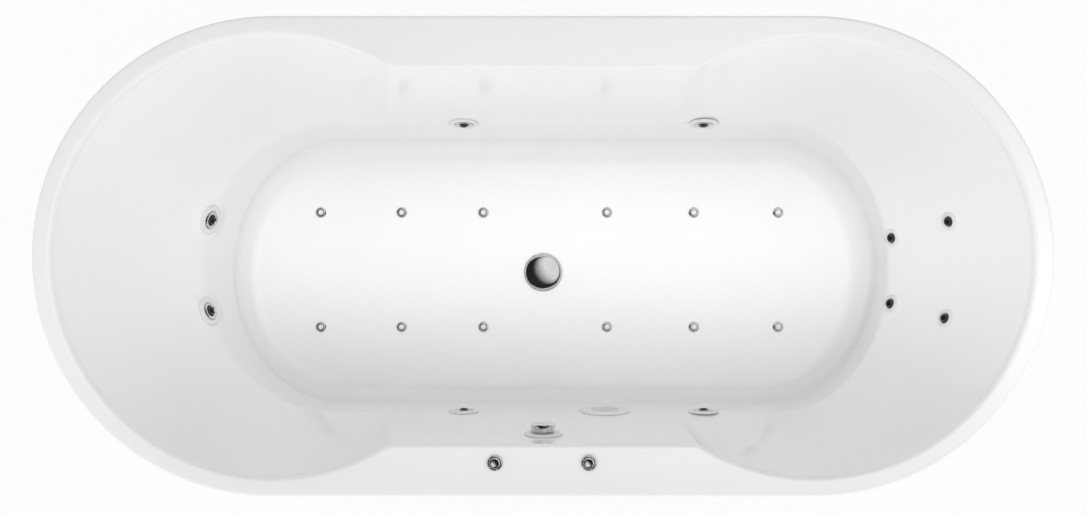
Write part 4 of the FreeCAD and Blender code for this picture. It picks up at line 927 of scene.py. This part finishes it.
# -------- push buttons
bezels = []
sleeves = []
for k, (x, y) in enumerate(button_spots, 1):
    place = upright(x, y, rim_height)
    bezels.append(lathe("bezel", (
        (9.7, seat_gap), (13.0, seat_gap), (13.0, 2.4), (12.0, 3.8), (11.2, 4.0), (10.4, 4.0), (9.7, 3.3)),
        "chrome", 180, place, 0.3,
        shape=lambda angle, r, z: r - (1.5 if r > 11 and z > 1.0 and cos(5 * angle) > 0.86 else 0.0)))
    sleeves.append(lathe("sleeve", ((0, -45), (9.5, -45), (11.0, -43.5), (11.0, 0), (9.7, 0), (9.7, -43.2),
                                    (0, -43.2)), "white_pvc", 48, place, 0.3))
    sleeves.append(lathe("sleeve.nut", ((10.9, -34), (10.95, -34), (11.15, -33), (11.15, -31), (10.9, -30)),
                         "white_pvc", 48, place, 0.1))
    head = lathe("button.%d" % k, ((0, -38.8), (9.0, -38.8), (9.15, -38), (9.15, 5.0), (8.2, 6.3), (6.8, 6.4),
                                   (5.6, 5.9), (0, 5.3)), "chrome", 72, place, 0.3)
    dress(head, "button_%d" % k, "chrome", "button_cap_%d" % k)
dress(joined("bezel.set", bezels), "tub", "chrome", "button_bezels")
dress(joined("sleeve.set", sleeves), "tub", "white_pvc", "button_bodies")

# -------- pump
pump_x = 730.0
pump_z = board_bottom + 3.0 + 10.0 + 56.0
motor_back = 110.0
front = -92.3
back_y = -40.3
pump_seat = upright(pump_x, 0, pump_z) @ Matrix.Rotation(-pi / 2, 4, "X")


def screw_circle(place, count, radius, z, start=0):
    """Seats of a ring of screws about a seat's axis."""
    angles = [2 * pi * (k + start) / count for k in range(count)]
    return [place @ upright(radius * cos(angle), radius * sin(angle), z) for angle in angles]


def finned(angle, r, z):
    if r < 47 or z < -28 or z > 98:
        return r
    return r + 3.6 * max(0.0, cos(24 * angle)) ** 10


barrel = lathe("motor.barrel", (
    (7.1, -40.0), (49.0, -40.0), (51.0, -38.0), (51.0, -29), (50.6, -28.5), (50.6, -27.5), (50.6, 97.5), (50.6, 98.5),
    (51.0, 99), (51.0, 108.0), (49.0, motor_back), (7.1, motor_back)), "motor_paint", 384, pump_seat, 0.3,
    shape=finned, sharp=30)
foot = box_mesh("motor.foot", (pump_x - 33, -20, 128), (pump_x + 33, 90, 136), "motor_paint", 1.5)
saddle = box_mesh("motor.saddle", (pump_x - 20, -10, 135), (pump_x + 20, 80, 152), "motor_paint", 2.0)
terminal = box_mesh("motor.terminal", (pump_x - 22, 10, 236), (pump_x + 22, 60, 249.5), "motor_paint", 2.5)
dress(joined("pump.motor", [barrel, foot, saddle, terminal]), "tub", "motor_paint", "pump_motor")
volute = lathe("pump.volute", (
    (17.0, front - 18), (22.0, front - 18), (22.0, front - 12), (20.6, front - 11), (20.6, front - 3),
    (30.0, front), (56.0, front + 2), (60.4, front + 8), (60.4, front + 18), (61.8, front + 19), (61.8, front + 24),
    (60.4, front + 25), (60.4, back_y - 4), (57.0, back_y), (9.0, back_y), (9.0, back_y - 5), (55.0, back_y - 5),
    (55.0, front + 6), (17.0, front + 5)), "pump_black", 120, pump_seat, 1.0)
outlet_x = pump_x + 62.0 - 13.0 - 5.0
outlet_y = (front + back_y) / 2
spout_place = upright(outlet_x, outlet_y)
top = pump_z + 70.0
spout = lathe("pump.spout", (
    (12.8, pump_z), (16.6, pump_z), (16.6, top - 14), (17.8, top - 13), (17.8, top), (12.8, top)),
    "pump_black", 64, spout_place, 0.5)
cut_away(spout, [lathe("pump.cavity", ((0, front + 6), (54.5, front + 6), (54.5, back_y - 5.5), (0, back_y - 5.5)),
                       "pump_black", 96, pump_seat, 0)])
screws = []
for at in screw_circle(pump_seat, 8, 51, front + 1.2, 0.5):
    screws.append(lathe("screw", ((0, -0.8), (3.4, -0.8), (3.4, 3), (0, 3)), "zinc_steel", 6, at, 0.4, sharp=20))
dress(joined("pump.volute", [volute, spout] + screws), "tub", "pump_black", "pump_volute")
start = motor_back + seat_gap
end = start + 34
cover = lathe("fan.cover", (
    (49.8, start), (51.2, start), (51.2, end - 3), (48.0, end), (10.0, end),
    (10.0, end - 2), (47.4, end - 2), (49.8, start + 29.6)), "pump_black", 96, pump_seat, 0.6)
vents = []
for k in range(12):
    for r0, r1 in ((14, 27), (30, 44)):
        vent = box_mesh("vent", (r0, -2.0, end - 4), (r1, 2.0, end + 2), "pump_black", 1.2)
        vents.append(placed(turned(vent, k / 12), pump_seat))
cut_away(cover, vents)
dress(cover, "tub", "pump_black", "fan_cover")

# -------- blower
blower_x = -706.0
blower_y = -42.0
blower_seat = upright(blower_x, blower_y)


def grips(angle, r, z):
    return r - (0.8 if r > 53 and 134 < z < 206 and cos(30 * angle) > 0.4 else 0.0)


housing = lathe("blower.housing", (
    (0, 128.0), (51.0, 128.0), (54.4, 131.0), (54.4, 134.5), (54.4, 164), (55.6, 166), (55.6, 171), (54.4, 173),
    (54.4, 205.5), (54.4, 207), (55.6, 209), (55.6, 220.0), (51.0, 220.0), (51.0, 168.0), (7.1, 168.0), (7.1, 131.0),
    (0, 131.0)), "pump_black", 240, blower_seat, 0.8, shape=grips, sharp=30)
dress(housing, "tub", "pump_black", "blower_housing")
lid = lathe("blower.lid", (
    (0, 220.3), (55.6, 220.3), (55.6, 224.0), (53.6, 230.4), (51.0, 232.3), (30.0, 232.3), (28.0, 231.0), (0, 231.0)),
    "pump_black", 120, blower_seat, 0.8)
lid_screws = []
for at in screw_circle(blower_seat, 6, 41, 231.0):
    lid_screws.append(lathe("screw", ((0, 0.3), (3.0, 0.3), (3.0, 1.28), (0, 1.3)), "zinc_steel", 24, at, 0.3))
dress(joined("blower.lid", [lid] + lid_screws), "tub", "pump_black", "blower_lid")

# -------- feet and nuts
foot_x = 700.0
foot_y = 185.0
nuts = []
for name, x, y in (("left_near", -foot_x, -foot_y), ("left_far", -foot_x, foot_y),
                   ("right_near", foot_x, -foot_y), ("right_far", foot_x, foot_y)):
    place = upright(x, y)
    pad = lathe("foot.pad", ((0, 2.2), (22.6, 2.2), (22.6, 4.6), (20.0, 6.4), (13.0, 8.6), (11.0, 9.0), (0, 9.0)),
                "zinc_steel", 96, place, 0.5)
    sole = lathe("foot.sole", ((0, 0), (22.0, 0), (22.8, 0.8), (22.8, 2.2), (0, 2.2)), "seal_rubber", 96, place, 0.2)
    flats = lathe("foot.flats", ((0, 9.0), (8.6, 9.0), (9.2, 9.8), (9.2, 14.2), (8.6, 15.0), (0, 15.0)),
                  "zinc_steel", 6, place, 0.2, sharp=20)
    threads = [(0, 15.0), (4.6, 15.0)]
    z = 16.0
    while z < 115.0:
        threads += [(4.6, z), (5.25, z + 0.6), (5.25, z + 0.75)]
        z += 1.5
    threads += [(4.6, 116.0), (3.9, 117.0), (0, 117.0)]
    stud = lathe("foot.stud", threads, "zinc_steel", 32, place, 0)
    dress(joined("foot." + name, [pad, sole, flats, stud]), "foot_" + name, "zinc_steel", "foot_" + name)
    nuts.append(lathe("nut", ((5.6, 87.0), (9.8, 87.0), (10.9, 88.0), (10.9, 94.0), (9.8, 95.0), (5.6, 95.0)),
                      "zinc_steel", 6, place, 0.2, sharp=20))
dress(joined("foot.nuts", nuts), "tub", "zinc_steel", "foot_lock_nuts")


# -------- pipes
def chamber_centre(place, length, tail):
    return place @ Vector((0, 0, -tail - seat_gap - (length + 8.0) / 2))


def standoff(place, chamber_radius, direction, tube_radius, sides=8):
    local = place.to_3x3().inverted() @ direction
    corner = 2 * pi / sides
    aside = corner * abs(atan2(local.y, local.x) / corner % 1 - 0.5)
    reach = chamber_radius * cos(aside) + 2 * seat_gap
    return (reach + tube_radius * abs(local.z)) / hypot(local.x, local.y)


def between(points, first, last, chamber_radius, tube_radius):
    points = [Vector(p) for p in points]
    start = seat_gap
    heading = (points[1] - points[0]).normalized()
    tail = (points[-2] - points[-1]).normalized()
    if first is not None:
        start = standoff(first, chamber_radius, heading, tube_radius)
    end = standoff(last, chamber_radius, tail, tube_radius)
    return [points[0] + heading * start] + points[1:-1] + [points[-1] + tail * end]


centres = [chamber_centre(place, 56.0, tail) for place, tail in zip(jet_seats, jet_tails)]
far_left, far_right, near_left, near_right, end_near, end_far = jet_seats
c_far_left, c_far_right, c_near_left, c_near_right, c_end_near, c_end_far = centres
line_z = c_near_left.z
line_y = c_near_left.y
left_bend_x = -440
pump_bend_x = 600
end_lean = 0.62
passing_x = 70
passing_y = -345
runs = [
    (None, near_right, [(outlet_x, outlet_y, top), (outlet_x, outlet_y, line_z), (pump_bend_x, line_y + 10, line_z),
                        (pump_bend_x - 80, line_y, line_z), c_near_right]),
    (near_right, near_left, [c_near_right, (c_near_right.x - 45, line_y, line_z),
                             (c_near_right.x - 85, passing_y, line_z), (passing_x, passing_y, line_z),
                             (passing_x - 40, line_y, line_z), c_near_left]),
    (near_left, end_near, [c_near_left, (left_bend_x, line_y, line_z),
                           (c_end_near.x - 20, line_y * end_lean, line_z), c_end_near]),
    (end_near, end_far, [c_end_near, c_end_far]),
    (end_far, far_left, [c_end_far, (c_end_far.x - 20, -line_y * end_lean, line_z),
                         (left_bend_x, -line_y, line_z), c_far_left]),
    (far_left, far_right, [c_far_left, c_far_right]),
]
lines = [tube("water", between(points, first, last, 22.0, 13.0), 12.0, 26.0, "white_pvc")
         for first, last, points in runs]
dress(joined("water.line", lines), "tub", "white_pvc", "water_pipe")
start = suction_seat @ Vector((0, 0, -wall - 1.5 - 22.5))
drop = standoff(suction_seat, 32.0, Vector((0, 0, -1)), 16.0)
route = ((start.x, start.y, start.z - drop), (start.x, start.y, pump_z), (pump_bend_x, start.y, pump_z),
         (pump_x, front - 90, pump_z), (pump_x, front - 18.3, pump_z))
dress(tube("suction.line", route, 14.8, 30.0, "white_pvc"), "tub", "white_pvc", "suction_pipe")
hoses = []
for a, b in ((0, 2), (2, 3), (3, 1)):
    ends = [chamber_centre(back_seats[k], 26.0, back_tail) for k in (a, b)]
    hoses.append(tube("back.hose", between(ends, back_seats[a], back_seats[b], 14.0, 6.0), 5.6, 10, "grey_hose",
                      ripple=3.0))
dress(joined("back.hoses", hoses), "tub", "grey_hose", "back_jet_hoses")
blower_top = 232.6
high = rim_height - lip_height - 45
hose_x = -810
hose_y = 30
route = ((blower_x - 20, blower_y, blower_top), (blower_x - 20, blower_y, blower_top + 40),
         (-785, blower_y, blower_top + 140), (hose_x, blower_y, high), (hose_x, hose_y, high),
         (-790, hose_y, rail_z), (across_x - 10.3, hose_y, rail_z))
dress(tube("blower.hose", route, 12.4, 26.0, "grey_hose", ripple=5.0), "tub", "grey_hose", "blower_hose")

# -------- camera
bpy.context.scene.view_settings.view_transform = "Standard"
# Metres above the rim, and millimetres to a pixel at the rim
rim_camera = 2.5
rim_scale = 1.659
picture_width = 1087
# Rows of the picture: its middle, and the one straight under the camera
middle_row = 257.0
under_row = 361.0
camera_data = bpy.data.cameras.new("camera")
camera_data.sensor_width = 36.0
camera_data.lens = camera_data.sensor_width * rim_camera / (rim_scale * picture_width * MM)
camera_data.sensor_fit = "HORIZONTAL"
camera_data.shift_x = 0.0004
camera_data.shift_y = (under_row - middle_row) / picture_width
camera = linked("camera", camera_data)
camera.location = (0.0, -0.1737, rim_height * MM + rim_camera)
bpy.context.scene.camera = camera


# -------- floor, world and light
white = (1, 1, 1, 1)


def seen_white(tree, shader_out, share):
    """Mix a plain white emission in for what the camera, gloss and glass see."""
    path = add_node(tree, "LightPath")
    seen = path.outputs["Is Camera Ray"]
    for kind in ("Is Glossy Ray", "Is Transmission Ray"):
        seen = add_node(tree, "Math", links={0: seen, 1: path.outputs[kind]}, operation="MAXIMUM").outputs[0]
    part = add_node(tree, "Math", {1: share}, {0: seen}, operation="MULTIPLY")
    emission = add_node(tree, "Emission", {"Color": white, "Strength": 1.0})
    return add_node(tree, "MixShader", links={0: part.outputs[0], 1: shader_out, 2: emission.outputs[0]}).outputs[0]


floor_tree, floor_shader = material("floor")
feed(floor_tree, floor_shader, {}, Base_Color=(0.95, 0.95, 0.95, 1), Roughness=0.9)
floor_out = floor_shader.outputs[0].links[0].to_node
floor_tree.links.new(seen_white(floor_tree, floor_shader.outputs[0], 0.9), floor_out.inputs[0])
floor = mesh_object("floor", [(-9, -9, 0), (9, -9, 0), (9, 9, 0), (-9, 9, 0)], [(0, 1, 2, 3)], "floor", scale=1.0)

world = bpy.data.worlds.new("world")
bpy.context.scene.world = world
world.use_nodes = True
wt = world.node_tree
wt.nodes.clear()
around = add_node(wt, "TexCoord")


def sky(direction, start, end, low, high, easing):
    """Background light that grows from low to high as a ray turns towards a direction."""
    towards = add_node(wt, "VectorMath", {1: direction}, {0: around.outputs["Generated"]}, operation="DOT_PRODUCT")
    strength = spread(wt, towards.outputs["Value"], low, high, start, end, easing)
    return add_node(wt, "Background", links={"Strength": strength})


# Soft studio light from all round, stronger from the near side
soft_sky = sky((0.05, -1.0, 0.0), -1.0, 1.0, 0.62, 1.70, "LINEAR")
white_sky = add_node(wt, "Background", {"Color": white, "Strength": 1.0})
# What gloss sees: a dark studio with one large pale softbox overhead, towards the far right side
studio = sky((0.30, 0.22, 0.928), 0.87, 0.975, 0.03, 1.3, "SMOOTHSTEP")
path = add_node(wt, "LightPath")
for_gloss = add_node(wt, "MixShader", links={0: path.outputs["Is Glossy Ray"], 1: soft_sky.outputs[0],
                                             2: studio.outputs[0]})
for_all = add_node(wt, "MixShader", links={0: path.outputs["Is Camera Ray"], 1: for_gloss.outputs[0],
                                           2: white_sky.outputs[0]})
add_node(wt, "OutputWorld", links={0: for_all.outputs[0]})


def softbox(name, place, target, size, power, spread_angle):
    data = bpy.data.lights.new(name, "AREA")
    data.shape = "RECTANGLE"
    data.size = size[0]
    data.size_y = size[1]
    data.energy = power
    data.spread = radians(spread_angle)
    lamp = linked(name, data)
    lamp.location = place
    aim = Vector(target) - Vector(place)
    lamp.rotation_euler = aim.to_track_quat("-Z", "Y").to_euler()
    lamp.visible_glossy = False


softbox("basin", (0.06, -0.90, 4.2), (0.06, 0.05, 0.2), (1.6, 0.26), 0.56, 8.0)
